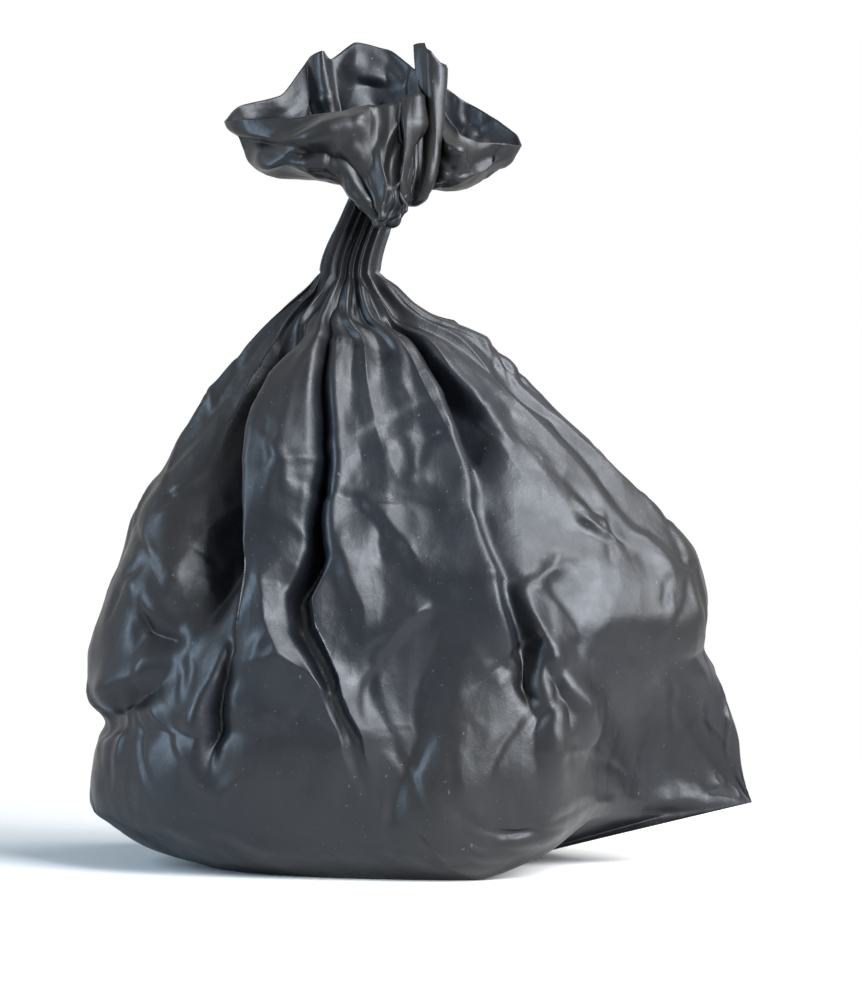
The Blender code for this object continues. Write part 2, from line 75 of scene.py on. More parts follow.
def through(stations, where):
    """Cubic Hermite curve through (place, height) stations, which never overshoots them.

    The slope at a station is the weighted harmonic mean of the slopes beside it, or level where
    they differ in sign.
    """
    place, height = np.array(stations, float).T
    run = np.diff(place)
    slope = np.diff(height) / run
    one_way = slope[1:] * slope[:-1] > 0
    near = 2 * run[1:] + run[:-1]
    far = run[1:] + 2 * run[:-1]
    safe = np.where(slope == 0, 1.0, slope)
    inner = np.where(one_way, (near + far) / (near / safe[:-1] + far / safe[1:]), 0.0)
    tangent = np.concatenate([slope[:1], inner, slope[-1:]])
    where = np.clip(where, place[0], place[-1])
    cell = np.clip(np.searchsorted(place, where) - 1, 0, len(run) - 1)
    t = (where - place[cell]) / run[cell]
    rise = height[cell + 1] - height[cell]
    ease = t * t * (3 - 2 * t)
    pull_in = t * (1 - t) * (1 - t) * run[cell] * tangent[cell]
    pull_out = t * t * (t - 1) * run[cell] * tangent[cell + 1]
    return height[cell] + rise * ease + pull_in + pull_out


def spline_at(before, here, after, beyond, t):
    """Catmull-Rom cubic from `here` (t = 0) to `after` (t = 1)."""
    return 0.5 * (2 * here + (after - before) * t
                  + (2 * before - 5 * here + 4 * after - beyond) * t ** 2
                  + (3 * here - before - 3 * after + beyond) * t ** 3)


def ring_film(points, where, crispness):
    """Closed row of points, read at `where` in steps of one point.

    They are joined by a Catmull-Rom curve and by straight runs, mixed as `crispness` says.
    """
    points = np.array(points, float)
    cell = np.floor(where).astype(int)
    share = (where - cell)[..., None]
    four = [points[(cell + step) % len(points)] for step in (-1, 0, 1, 2)]
    smooth = spline_at(*four, share)
    straight = four[1] * (1 - share) + four[2] * share
    return smooth + (straight - smooth) * crispness


print("curve tools ready")

# %% [markdown]
# The filled body. Seen from the front it fans out from the neck to the rubbish inside, rounds in
# at the lower left, and runs out into a flat loose corner at the lower right. A point on it has
# two parameters: an angle round the bag, counted from the middle of the front towards +X, and the
# share of the way down the film. The sizes are those of the solid.

# %% The plain body: an oval that fans out from the neck
BODY_HALF_WIDTH = 0.2165
BODY_HEIGHT = 0.3835
BODY_HALF_DEPTH = 0.125
EAR_LIFT = 0.04
EAR_HALF_THICKNESS = 0.0012
EAR_TOP, EAR_EASE_DOWN = 0.6, 0.35
EAR_START, EAR_EASE_ACROSS = 0.35, 0.4
HEM_LIFT_FULL = 0.9
NECK_RADIUS = 0.018
NECK_HEIGHT = 0.0585
NECK_SIDE_SHIFT = -0.0455
THROAT_RADIUS = 0.015
THROAT_SIDE_SHIFT = -0.029
LEFT_OUTLINE = [
    (0, 0), (0.09, 0.25), (0.22, 0.52), (0.32, 0.66), (0.4, 0.8), (0.45, 0.85), (0.55, 0.945),
    (0.65, 0.99), (0.72, 0.98), (0.76, 0.93), (0.785, 0.96), (0.87, 1.0), (0.905, 0.985), (0.93, 0.9),
    (0.966, 0.74), (1.0, 0.5),
]
RIGHT_OUTLINE = [
    (0, 0), (0.076, 0.125), (0.114, 0.26), (0.2, 0.405), (0.275, 0.525), (0.35, 0.645), (0.436, 0.75),
    (0.5, 0.83), (0.56, 0.86), (0.616, 0.877), (0.68, 0.87), (0.73, 0.9), (0.843, 0.938), (0.94, 0.97),
    (1, 1),
]
DEPTH_OUTLINE = [
    (0, 0), (0.1, 0.16), (0.3, 0.58), (0.5, 0.81), (0.7, 0.97), (0.82, 1.0), (0.94, 0.95), (1.0, 0.72),
]
HEM_LIFT = [(-1.0, 0.0), (0.15, 0.0), (0.35, 0.35), (0.55, 0.92), (0.69, 0.78), (0.84, 0.85), (1.0, 1.0)]


def body_half_size(down):
    """Middle in x, half width and half depth at a share down: the neck plus the outline times the spread."""
    neck_left, neck_right = NECK_SIDE_SHIFT - NECK_RADIUS, NECK_SIDE_SHIFT + NECK_RADIUS
    left = neck_left + through(LEFT_OUTLINE, down) * (-BODY_HALF_WIDTH - neck_left)
    right = neck_right + through(RIGHT_OUTLINE, down) * (BODY_HALF_WIDTH - neck_right)
    depth = NECK_RADIUS + through(DEPTH_OUTLINE, down) * (BODY_HALF_DEPTH - NECK_RADIUS)
    return (left + right) / 2, (right - left) / 2, depth


def ear_flatness(across, down):
    """0 on the body, rising to 1 at the loose corner: low down and far to the right."""
    low_down = smooth_step((down - EAR_TOP) / EAR_EASE_DOWN)
    return low_down * smooth_step((across - EAR_START) / EAR_EASE_ACROSS)


def plain_body(angle, down):
    """x = middle + half width * sin(angle), y = -half depth * cos(angle), z falls with the share down.

    Towards the loose corner the depth shrinks to the film and the foot lifts off the floor.
    """
    middle, half_width, half_depth = body_half_size(down)
    x = middle + half_width * np.sin(angle)
    across = x / BODY_HALF_WIDTH
    flat = ear_flatness(across, down)
    thickness = half_depth * (1 - flat) + EAR_HALF_THICKNESS * flat
    lift = EAR_LIFT * through(HEM_LIFT, across) * smooth_step(down / HEM_LIFT_FULL)
    z = BODY_HEIGHT + (lift - BODY_HEIGHT) * down
    return np.stack([x, -thickness * np.cos(angle), z], axis=-1)


def outward(points):
    """Unit normals of a grid of points: the step down the rows crossed with the step round it."""
    step_round = np.roll(points, -1, axis=1) - np.roll(points, 1, axis=1)
    normal = np.cross(np.gradient(points, axis=0), step_round)
    return normal / np.maximum(np.linalg.norm(normal, axis=-1, keepdims=True), 1e-9)


test_angle, test_down = np.meshgrid(np.linspace(-math.pi, math.pi, 9), np.linspace(0, 1, 5))
print("plain body spans", np.ptp(plain_body(test_angle, test_down).reshape(-1, 3), axis=0).round(3), "m")

# %% [markdown]
# The folds. Where the film is gathered it stands up in ridges and sinks into grooves that run
# from the neck into the body. Each crease is a listed route over the film. The shape across
# it is a tent with a small round at its crest: sharp at the crease and flat beside it.

# %% Creases over the laid-out film
CREASE_RADIUS = 0.0011
TENT_WIDTH = 1.8
TENT_FOOT = 0.4
FOLD_ROOM_AT_NECK = 0.3
FOLD_ROOM_FULL = 0.3
NECK_FOLD_ABOVE = 0.12
START_EASE, NECK_START_EASE, END_EASE = 0.35, 0.15, 0.3
# Each is a route of (degrees round, share down), a height, a spread to its left and right, and a lean
FRONT_FOLDS = [
    ([(-27, 0.08), (-42, 0.174), (-43, 0.26), (-41, 0.343), (-37.5, 0.424), (-38, 0.506),
      (-41, 0.611)], -0.04, 0.028, 0.006, 0),
    ([(-69, 0.104), (-58.5, 0.214), (-72, 0.34), (-75, 0.431), (-75, 0.48)], 0.004, 0.007, 0.016, 0),
    ([(-17.5, 0.04), (-29, 0.134), (-31.5, 0.186), (-33, 0.251), (-32.5, 0.325), (-29, 0.406),
      (-29, 0.473), (-29, 0.537), (-29, 0.619), (-32, 0.7), (-38, 0.775)], 0.017, 0.004, 0.03, -0.3),
    ([(-15, 0.052), (-21, 0.144), (-23, 0.201), (-23, 0.251), (-24, 0.3), (-24.5, 0.374),
      (-24, 0.46)], 0.009, 0.008, 0.014, 0),
    ([(-15.5, 0.439), (-21.5, 0.465), (-25, 0.512), (-23.5, 0.578), (-21, 0.625), (-15.5, 0.659),
      (-11, 0.698), (-10, 0.771), (-7, 0.86)], 0.01, 0.012, 0.009, 0.2),
    ([(-10.5, 0.052), (-16, 0.119), (-13.5, 0.249), (-14, 0.374), (-14.5, 0.465), (-17.5, 0.536),
      (-16.5, 0.61)], -0.02, 0.003, 0.0024, 0),
    ([(-14, 0.374), (-14.5, 0.465), (-17.5, 0.536), (-16.5, 0.588), (-12, 0.665), (-11, 0.754),
      (-6.5, 0.87)], -0.009, 0.0024, 0.002, 0),
    ([(-6, 0.052), (-13, 0.119), (-12, 0.249), (-12.5, 0.479), (-16, 0.544), (-15, 0.585),
      (-10.5, 0.661), (-9.5, 0.755), (-5.5, 0.853)], 0.008, 0.003, 0.034, 0),
    ([(1.5, 0.043), (-5, 0.106), (-3.5, 0.134)], -0.0035, 0.004, 0.003, 0),
    ([(12, 0.043), (5, 0.094), (0, 0.136), (-2, 0.21)], 0.0035, 0.003, 0.006, 0),
    ([(-3, 0.043), (-9, 0.126), (-9, 0.242)], 0.003, 0.004, 0.004, 0),
    ([(28.5, 0.04), (15, 0.106), (11, 0.196), (11.5, 0.226), (9, 0.275)], 0.0035, 0.008, 0.004, 0),
    ([(35, 0.043), (18.5, 0.11), (14.5, 0.196), (12, 0.259)], -0.003, 0.004, 0.006, 0),
    ([(2, 0.275), (1, 0.315), (2, 0.34), (4, 0.369)], 0.0025, 0.005, 0.003, 0),
    ([(9.5, 0.275), (7, 0.315), (4.5, 0.369)], 0.0025, 0.003, 0.006, 0),
    ([(28, 0.052), (24, 0.13), (24, 0.205), (21, 0.284), (19, 0.328), (17, 0.38), (16, 0.468),
      (16.5, 0.555), (19, 0.621), (22, 0.746)], 0.015, 0.026, 0.005, 0.4),
    ([(36, 0.058), (27, 0.126), (27, 0.205), (24, 0.275), (21.5, 0.33),
      (20, 0.37)], -0.017, 0.004, 0.013, 0),
    ([(22, 0.3), (20, 0.345), (19, 0.39), (18, 0.465), (19, 0.545), (20, 0.594)], -0.006, 0.003, 0.009, 0),
    ([(41.5, 0.066), (34, 0.135), (39, 0.194), (41, 0.235), (42, 0.26)], 0.0096, 0.004, 0.024, -0.3),
    ([(33, 0.074), (28, 0.144), (33, 0.204), (37, 0.242), (38, 0.274)], -0.008, 0.007, 0.004, 0),
    ([(43.5, 0.26), (34, 0.292), (20, 0.328)], 0.0025, 0.005, 0.008, 0),
    ([(76, 0.13), (74, 0.2), (75, 0.26), (74, 0.32), (78, 0.42), (82, 0.54)], 0.007, 0.012, 0.003, 0),
    ([(53, 0.104), (62, 0.177), (70.5, 0.246), (64.5, 0.384), (65, 0.482)], -0.0035, 0.005, 0.007, 0),
    ([(45, 0.264), (43, 0.33), (45, 0.395), (57, 0.386)], 0.0025, 0.01, 0.008, 0),
    ([(44, 0.4), (50, 0.45), (57, 0.4)], 0.0045, 0.003, 0.007, 0),
    ([(49, 0.34), (52.5, 0.39), (54.5, 0.43), (53, 0.5)], -0.004, 0.003, 0.006, 0),
    ([(38, 0.46), (28, 0.51), (20, 0.55)], 0.003, 0.003, 0.008, 0),
    ([(16, 0.45), (20, 0.5), (24, 0.56), (29, 0.641), (31, 0.749), (33, 0.844),
      (34, 0.9)], 0.012, 0.006, 0.009, 0),
    ([(24, 0.56), (27, 0.661), (26, 0.734), (26, 0.9)], 0.008, 0.004, 0.005, 0),
    ([(20.5, 0.46), (22, 0.56), (24, 0.649), (23, 0.77)], -0.005, 0.003, 0.004, 0),
    ([(27, 0.62), (29, 0.716), (28, 0.81)], -0.005, 0.003, 0.003, 0),
    ([(-74.5, 0.482), (-55, 0.545), (-42, 0.61)], 0.003, 0.006, 0.005, 0),
    ([(-78, 0.716), (-55, 0.667), (-42, 0.61)], 0.0072, 0.007, 0.01, 0),
    ([(-60.5, 0.586), (-49.5, 0.6), (-42, 0.613)], -0.008, 0.01, 0.008, 0),
    ([(-95, 0.781), (-65.5, 0.741), (-51, 0.689), (-42, 0.625)], -0.008, 0.006, 0.008, 0),
    ([(-30.5, 0.537), (-35.5, 0.67), (-41, 0.748), (-38.5, 0.833)], 0.007, 0.009, 0.005, 0),
    ([(-29, 0.57), (-32, 0.67), (-38, 0.768), (-37, 0.841)], -0.009, 0.003, 0.004, 0),
    ([(-43, 0.807), (-39, 0.84), (-32, 0.878)], 0.0025, 0.004, 0.005, 0),
    ([(3, 0.949), (13, 0.934), (23, 0.948), (31.5, 0.975), (47, 0.943)], -0.0025, 0.004, 0.004, 0),
    ([(-71, 0.936), (-49, 0.95), (-31, 0.951)], -0.0025, 0.005, 0.005, 0),
    ([(9, 0.5), (6, 0.616), (0, 0.795), (-7, 0.97)], -0.007, 0.014, 0.009, 0),
    ([(20, 0.62), (17, 0.684), (12, 0.811), (1, 0.98)], 0.0035, 0.018, 0.016, 0),
    ([(-18, 0.56), (-26.5, 0.731), (-28.5, 0.9)], 0.004, 0.014, 0.012, 0),
    ([(-10, 0.354), (-6, 0.366), (-1, 0.403), (2, 0.445), (3.5, 0.494),
      (5.5, 0.527)], 0.004, 0.003, 0.007, 0),
    ([(-8, 0.403), (-10, 0.45), (-9, 0.501), (-6, 0.554), (-6, 0.62)], 0.0045, 0.004, 0.009, 0),
    ([(-3, 0.62), (1.5, 0.573), (6, 0.54)], 0.0045, 0.003, 0.006, 0),
    ([(42, 0.723), (51, 0.726), (57.5, 0.679), (89, 0.679)], 0.0025, 0.007, 0.01, 0),
    ([(63, 0.429), (61.5, 0.479), (64.5, 0.547)], 0.002, 0.005, 0.005, 0),
]
# Each is the degrees round at its top and at its foot, the share down where it ends, and a height
BACK_FOLDS = [
    (104, 112, 0.62, 0.01), (122, 134, 0.86, 0.013), (139, 150, 0.55, 0.012), (152, 163, 0.9, 0.016),
    (167, 171, 0.48, 0.011), (180, 186, 0.8, 0.014), (195, 199, 0.6, 0.012), (208, 214, 0.92, 0.015),
    (222, 226, 0.52, 0.01), (235, 243, 0.78, 0.013), (250, 256, 0.58, 0.009),
]
BACK_FOLD_START = 0.05
BACK_FOLD_SPREAD = 0.011
BACK_SHARP_SIDE = 0.55
BACK_GROOVE_TURN = 6.0


def film_plane(angle, down):
    """Lays the body's film out flat: the angle times the mean radius, and the share times the height."""
    _, half_width, half_depth = body_half_size(down)
    girth_radius = np.sqrt((half_width ** 2 + half_depth ** 2) / 2)
    return np.stack([angle * girth_radius, down * BODY_HEIGHT], axis=-1)


def fold_room(down):
    """How wide and high a fold may be: 0.3 at the crowded neck, full size below the shoulders."""
    return FOLD_ROOM_AT_NECK + (1 - FOLD_ROOM_AT_NECK) * smooth_step(down / FOLD_ROOM_FULL)


def fold_profile(plane, room, spots, left, right, starts_full):
    """A tent over the route, 1 - gone for gone = distance / width, easing out at its foot and both ends.

    `left` and `right` are its spreads. From gone = 1 - foot on it is the parabola
    (1 + foot - gone)^2 / (4 foot), which meets the straight flank without a kink.
    """
    lengths = np.linalg.norm(np.diff(spots, axis=0), axis=1)
    total = lengths.sum()
    best = np.full(room.shape, np.inf)
    side, along = np.zeros(room.shape), np.zeros(room.shape)
    start = 0.0
    for head, tail, length in zip(spots[:-1], spots[1:], lengths):
        way = (tail - head) / length
        offset = plane - head
        reach = np.clip(offset @ way, 0.0, length)
        gap = offset - reach[..., None] * way
        distance = np.hypot(gap[..., 0], gap[..., 1])
        nearer = distance < best
        best = np.where(nearer, distance, best)
        side = np.where(nearer, way[1] * gap[..., 0] - way[0] * gap[..., 1], side)
        along = np.where(nearer, (start + reach) / total, along)
        start += length
    width = TENT_WIDTH * np.where(side > 0, right, left) * room
    gone = (np.hypot(best, CREASE_RADIUS) - CREASE_RADIUS) / width
    parabola = np.maximum(1 + TENT_FOOT - gone, 0) ** 2 / (4 * TENT_FOOT)
    fall = np.where(gone < 1 - TENT_FOOT, 1 - gone, parabola)
    rising = smooth_step(along / (NECK_START_EASE if starts_full else START_EASE))
    return room * fall * rising * smooth_step((1 - along) / END_EASE)


def add_fold(height, lean, plane, room, spots, rise, left, right, slant, starts_full):
    """Adds one crease to the height and lean of the film, only where it reaches."""
    margin = (1 + TENT_FOOT) * TENT_WIDTH * max(left, right) + CREASE_RADIUS
    low, high = spots.min(axis=0) - margin, spots.max(axis=0) + margin
    inside = np.nonzero(np.all((plane > low) & (plane < high), axis=-1))
    shape = rise * fold_profile(plane[inside], room[inside], spots, left, right, starts_full)
    height[inside] += shape
    lean[inside] += slant * shape


def fold_relief(angle, down):
    """Height of all the folds over the plain body, and how far they lean to the right."""
    plane = film_plane(angle, down)
    room = fold_room(down)
    height, lean = np.zeros(angle.shape), np.zeros(angle.shape)
    for route, rise, left, right, slant in FRONT_FOLDS:
        degrees, share = np.array(route, float).T
        spots = film_plane(np.radians(degrees), share)
        from_neck = share[0] < NECK_FOLD_ABOVE
        add_fold(height, lean, plane, room, spots, rise, left, right, slant, from_neck)
    back_plane = film_plane(np.where(angle < 0, angle + math.pi, angle - math.pi), down)
    spread = BACK_FOLD_SPREAD
    sharp = BACK_FOLD_SPREAD * BACK_SHARP_SIDE
    for top, foot, end, rise in BACK_FOLDS:
        degrees = np.array([top, (top + foot) / 2, foot]) - 180.0
        share = np.array([BACK_FOLD_START, end / 2, end])
        ridge = film_plane(np.radians(degrees), share)
        groove = film_plane(np.radians(degrees + BACK_GROOVE_TURN), share)
        add_fold(height, lean, back_plane, room, ridge, rise, spread, sharp, 0, True)
        add_fold(height, lean, back_plane, room, groove, -rise, sharp, spread, 0, True)
    return height, lean


print(len(FRONT_FOLDS), "front creases and", len(BACK_FOLDS), "back pleats")

# %% [markdown]
# Small gathers run round the neck, and the rubbish pushes the film out in slow swellings. With the
# creases they turn the plain oval into the body of the bag.

# %% The folded body
GATHER_COUNT = 18
GATHER_HEIGHT = 0.0022
GATHER_END, GATHER_FADE = 0.12, 0.3
CONTENT_BULGE = 0.0045
CONTENT_TOP, CONTENT_EASE = 0.3, 0.3
CONTENT_FOOT, CONTENT_FADE = 0.95, 0.2
LOOSE_FROM, LOOSE_TO, HEM_EASE = 0.05, 0.985, 0.06
NO_CREASES_FROM = 8


def gathers(angle, strength):
    """Pleats of |sin| form round the neck, their spacing varied by a slower sine."""
    wave = np.abs(np.sin(angle * GATHER_COUNT / 2 + 0.6 * np.sin(3 * angle)))
    return GATHER_HEIGHT * (0.5 - wave) * 2 * strength


def content_bumps(angle, down):
    """Sines of 2, 3 and 5 waves round, which drift with the share down: swellings over what is inside."""
    swell = (np.sin(2.0 * angle + 9.0 * down) * np.sin(3.0 * angle - 7.0 * down + 1.0)
             + 0.6 * np.sin(5.0 * angle + 11.0 * down + 2.0))
    starting = smooth_step((down - CONTENT_TOP) / CONTENT_EASE)
    return CONTENT_BULGE * swell * starting * smooth_step((CONTENT_FOOT - down) / CONTENT_FADE)


def folded_body(angle, down, coarser=1):
    """The plain body moved along its normals by folds, gathers and bumps, and kept above the floor.

    On a grid 8 times coarser the creases are left out, because it is too coarse to show them.
    """
    points = plain_body(angle, down)
    normal = outward(points)
    sideways = np.cross(normal, np.gradient(points, axis=0))
    sideways /= np.maximum(np.linalg.norm(sideways, axis=-1, keepdims=True), 1e-9)
    loose = smooth_step((LOOSE_TO - down) / HEM_EASE) * smooth_step(down / LOOSE_FROM)
    loose = loose * (1 - ear_flatness(points[..., 0] / BODY_HALF_WIDTH, down))
    height, lean = fold_relief(angle, down) if coarser < NO_CREASES_FROM else (0 * angle, 0 * angle)
    height += content_bumps(angle, down)
    pleats = gathers(angle, 1 - smooth_step((down - GATHER_END) / GATHER_FADE))
    points = points + normal * (height * loose + pleats)[..., None]
    points = points + sideways * (lean * loose)[..., None]
    points[..., 2] = np.maximum(points[..., 2], 0.0)
    return points


print("body has", GATHER_COUNT, "gathers at the neck and swellings of", CONTENT_BULGE * 1000, "mm")

# %% [markdown]
# A surface is a grid of rows and columns. The columns stand closer together on the front, where the
# creases have to be sharp. A grid closes round and becomes a mesh of four-sided faces.

# %% Columns round the bag, closer together on the front
FRONT_CROWDING = 0.6


def film_angles(count):
    """Angles round the bag: a - k sin(a) for even steps a from -pi to pi, which crowds the front."""
    share = np.arange(count) / count
    return math.pi * (2 * share - 1) + FRONT_CROWDING * np.sin(2 * math.pi * share)


def film_grid(row_count, column_count):
    """The angle and the share of the way down at each point of a grid."""
    return np.meshgrid(film_angles(column_count), np.linspace(0.0, 1.0, row_count))


def film_object(name, rows, top=None, bottom=None):
    """A mesh from a grid whose columns close round, with a point to close either end if given."""
    ring_count, column_count = rows.shape[:2]
    index = np.arange(ring_count * column_count).reshape(ring_count, column_count)
    beside = np.roll(index, -1, axis=1)
    quads = np.stack([index[:-1], index[1:], beside[1:], beside[:-1]], axis=-1).reshape(-1, 4)
    faces = quads.tolist()
    points = rows.reshape(-1, 3)
    if top is not None:
        faces += [[len(points), a, b] for a, b in zip(index[0].tolist(), beside[0].tolist())]
        points = np.vstack([points, top])
    if bottom is not None:
        faces += [[len(points), b, a] for a, b in zip(index[-1].tolist(), beside[-1].tolist())]
        points = np.vstack([points, bottom])
    mesh = bpy.data.meshes.new(name)
    mesh.from_pydata(points.tolist(), [], faces)
    mesh.shade_smooth()
    mesh.update()
    piece = bpy.data.objects.new(name, mesh)
    scene.collection.objects.link(piece)
    return piece


print("grid tools ready")

# %% [markdown]
# The mouth. Above the neck the film is free, so it flares: two wide wings, a dome at the back, a
# curled lobe at the right and a tongue that folds over and hangs down in front. Each spoke of it
# leaves the throat, swings through a belly and ends at the rim. Between two spokes the film runs
# partly straight, because it was creased while it was packed flat.

# %% The film of the mouth
MOUTH_SIZE = np.array([0.098, 0.058, 0.095])
MOUTH_CRISPNESS = 0.65
MOUTH_PLEAT_COUNT = 14
MOUTH_PLEAT_HEIGHT = 0.002
MOUTH_PLEAT_EASE, MOUTH_PLEAT_LOSS = 0.6, 0.8
MOUTH_FILM = 0.0006
FIRST_STATION_ANGLE = -90.0
# Each is a point of the rim and one of the belly of its spoke, as shares of MOUTH_SIZE
MOUTH_STATIONS = [
    ((-1.0, 0.0, 0.43), (-0.86, 0.0, -0.08)),
    ((-0.9, 0.48, 0.55), (-0.77, 0.55, -0.04)),
    ((-0.63, 0.66, 0.63), (-0.53, 0.83, 0.0)),
    ((-0.47, 0.86, 0.86), (-0.39, 0.9, 0.11)),
    ((-0.36, 0.62, 0.93), (-0.27, 0.69, 0.21)),
    ((-0.3, 0.91, 0.88), (-0.22, 1.0, 0.23)),
    ((-0.14, 1.0, 1.0), (-0.1, 1.07, 0.26)),
    ((0.08, 1.0, 0.95), (0.06, 1.1, 0.26)),
    ((0.22, 0.86, 0.84), (0.17, 0.92, 0.27)),
    ((0.33, 0.72, 0.76), (0.24, 0.8, 0.22)),
    ((0.45, 0.64, 0.68), (0.33, 0.7, 0.12)),
    ((0.56, 0.58, 0.6), (0.42, 0.64, 0.03)),
    ((0.68, 0.52, 0.53), (0.54, 0.58, -0.05)),
    ((0.8, 0.42, 0.45), (0.66, 0.48, -0.1)),
    ((0.91, 0.25, 0.36), (0.77, 0.28, -0.17)),
    ((0.95, -0.03, 0.27), (0.82, -0.03, -0.21)),
    ((0.86, -0.32, 0.27), (0.71, -0.48, -0.19)),
    ((0.68, -0.45, 0.29), (0.6, -0.7, -0.18)),
    ((0.55, -0.48, 0.36), (0.54, -0.8, -0.12)),
    ((0.41, -0.27, 0.56), (0.4, -0.54, 0.0)),
    ((0.43, -0.46, 0.78), (0.45, -0.98, -0.44)),
    ((0.36, -0.34, 0.93), (0.4, -1.03, -0.48)),
    ((0.26, -0.24, 0.92), (0.34, -0.98, -0.38)),
    ((0.26, -0.46, 0.68), (0.28, -1.02, -0.5)),
    ((0.27, -0.62, 0.58), (0.24, -1.33, -0.74)),
    ((0.17, -0.58, 0.54), (0.15, -1.29, -0.72)),
    ((0.08, -0.62, 0.51), (0.05, -1.34, -0.76)),
    ((-0.04, -0.64, 0.49), (-0.08, -1.25, -0.44)),
    ((-0.2, -0.68, 0.48), (-0.24, -1.08, -0.1)),
    ((-0.4, -0.66, 0.46), (-0.4, -1.0, -0.03)),
    ((-0.62, -0.55, 0.45), (-0.56, -0.95, -0.02)),
    ((-0.86, -0.34, 0.44), (-0.73, -0.52, -0.04)),
]
# Each is a route of (degrees round, share from throat to rim), a height and a spread to either side
MOUTH_FOLDS = [
    ([(30, 0.86), (22, 0.88), (-12, 0.95), (-32, 0.84), (-44, 0.66), (-50, 0.5)], 0.008, 0.003, 0.008),
    ([(-2, 0.98), (-4, 0.86), (-8, 0.62)], 0.006, 0.003, 0.005),
    ([(-110, 0.95), (-95, 0.9), (-82, 0.8), (-65, 0.74), (-47, 0.67), (-34, 0.72),
      (-25, 0.8)], -0.007, 0.003, 0.006),
    ([(-85, 0.7), (-72, 0.76), (-62, 0.79), (-46, 0.9), (-22, 1.0)], 0.006, 0.004, 0.006),
    ([(-162, 0.78), (-158, 0.86), (-154, 0.97)], -0.00375, 0.003, 0.003),
    ([(-162, 0.78), (-165, 0.88), (-168, 1.0)], -0.00375, 0.003, 0.003),
    ([(-162, 0.78), (-170, 0.86), (-178, 0.95)], -0.00375, 0.003, 0.003),
    ([(-180, 0.55), (-168, 0.72), (-162, 0.78)], -0.00375, 0.003, 0.003),
    ([(57, 0.97), (63, 0.88), (74, 0.84)], 0.00375, 0.003, 0.004),
    ([(50, 0.92), (57, 0.86), (70, 0.8), (88, 0.67)], 0.0045, 0.003, 0.006),
    ([(140, 0.74), (134, 0.8), (121, 0.85)], -0.00375, 0.003, 0.003),
    ([(-40, 0.72), (-37, 0.6), (-28, 0.5), (-18, 0.42)], -0.0045, 0.003, 0.003),
    ([(-30, 0.88), (-22, 0.76), (-8, 0.57)], 0.006, 0.003, 0.004),
    ([(0, 0.9), (0, 0.78), (0, 0.55)], -0.006, 0.003, 0.003),
    ([(-88, 0.66), (-70, 0.6), (-53, 0.54)], 0.003, 0.003, 0.004),
    ([(-110, 0.95), (-104, 0.8), (-96, 0.62)], 0.005, 0.003, 0.004),
    ([(-30, 1.0), (-52, 0.84), (-76, 0.62), (-90, 0.5)], 0.006, 0.003, 0.007),
    ([(-20, 0.98), (-36, 0.78), (-58, 0.55)], -0.005, 0.003, 0.005),
    ([(75, 1.0), (68, 0.8), (58, 0.55)], 0.005, 0.003, 0.006),
    ([(96, 1.0), (82, 0.78), (72, 0.6)], -0.005, 0.003, 0.005),
]
MOUTH_RADIUS, MOUTH_SPOKE = 0.06, 0.09
NECK_GATHER_EASE = 0.3
THROAT = np.array([THROAT_SIDE_SHIFT, 0.0, BODY_HEIGHT + NECK_HEIGHT])


def mouth_surface(angle, along):
    """(1-t)^2 throat + 2t(1-t) belly + t^2 rim, for the share t from the throat to the rim."""
    station = (FIRST_STATION_ANGLE - np.degrees(angle)) % 360.0 / 360.0 * len(MOUTH_STATIONS)
    rim = ring_film([rim for rim, _ in MOUTH_STATIONS], station, MOUTH_CRISPNESS) * MOUTH_SIZE
    belly = ring_film([belly for _, belly in MOUTH_STATIONS], station, MOUTH_CRISPNESS) * MOUTH_SIZE
    throat = np.stack([np.sin(angle), -np.cos(angle), np.zeros(angle.shape)], axis=-1) * THROAT_RADIUS
    t = along[..., None]
    return THROAT + (1 - t) ** 2 * throat + 2 * t * (1 - t) * belly + t ** 2 * rim


def mouth_pleats(angle, along):
    """Sharp |sin| pleats that leave the throat and flatten towards the rim."""
    wave = np.abs(np.sin(angle * MOUTH_PLEAT_COUNT / 2 + 1.7 * np.sin(2 * angle + 0.5)))
    starting = smooth_step(along / MOUTH_PLEAT_EASE)
    return MOUTH_PLEAT_HEIGHT * (1 - 2 * wave) * starting * (1 - MOUTH_PLEAT_LOSS * along)


def mouth_plane(angle, along):
    """Lays the mouth's film out flat: the angle times its mean radius, and the share times a spoke."""
    return np.stack([angle * MOUTH_RADIUS, along * MOUTH_SPOKE], axis=-1)


def mouth_creases(angle, along):
    """Height of the mouth's creases over its film, laid out flat."""
    plane = mouth_plane(angle, along)
    height, lean, room = np.zeros(angle.shape), np.zeros(angle.shape), np.ones(angle.shape)
    for route, rise, left, right in MOUTH_FOLDS:
        spots = np.array(route, float) * [math.radians(MOUTH_RADIUS), MOUTH_SPOKE]
        add_fold(height, lean, plane, room, spots, rise, left, right, 0, False)
    return height


def pleated_mouth(angle, along, coarser=1):
    """The mouth's film moved along its normals by its pleats and, unless it is coarse, its creases."""
    middle = mouth_surface(angle, along)
    height = mouth_pleats(angle, along)
    if coarser < NO_CREASES_FROM:
        height = height + mouth_creases(angle, along)
    return middle - outward(middle) * height[..., None]


def both_faces(middle):
    """Inner and outer face of the mouth's film, half its thickness to each side of its middle."""
    half = -outward(middle) * MOUTH_FILM / 2
    return middle - half, middle + half


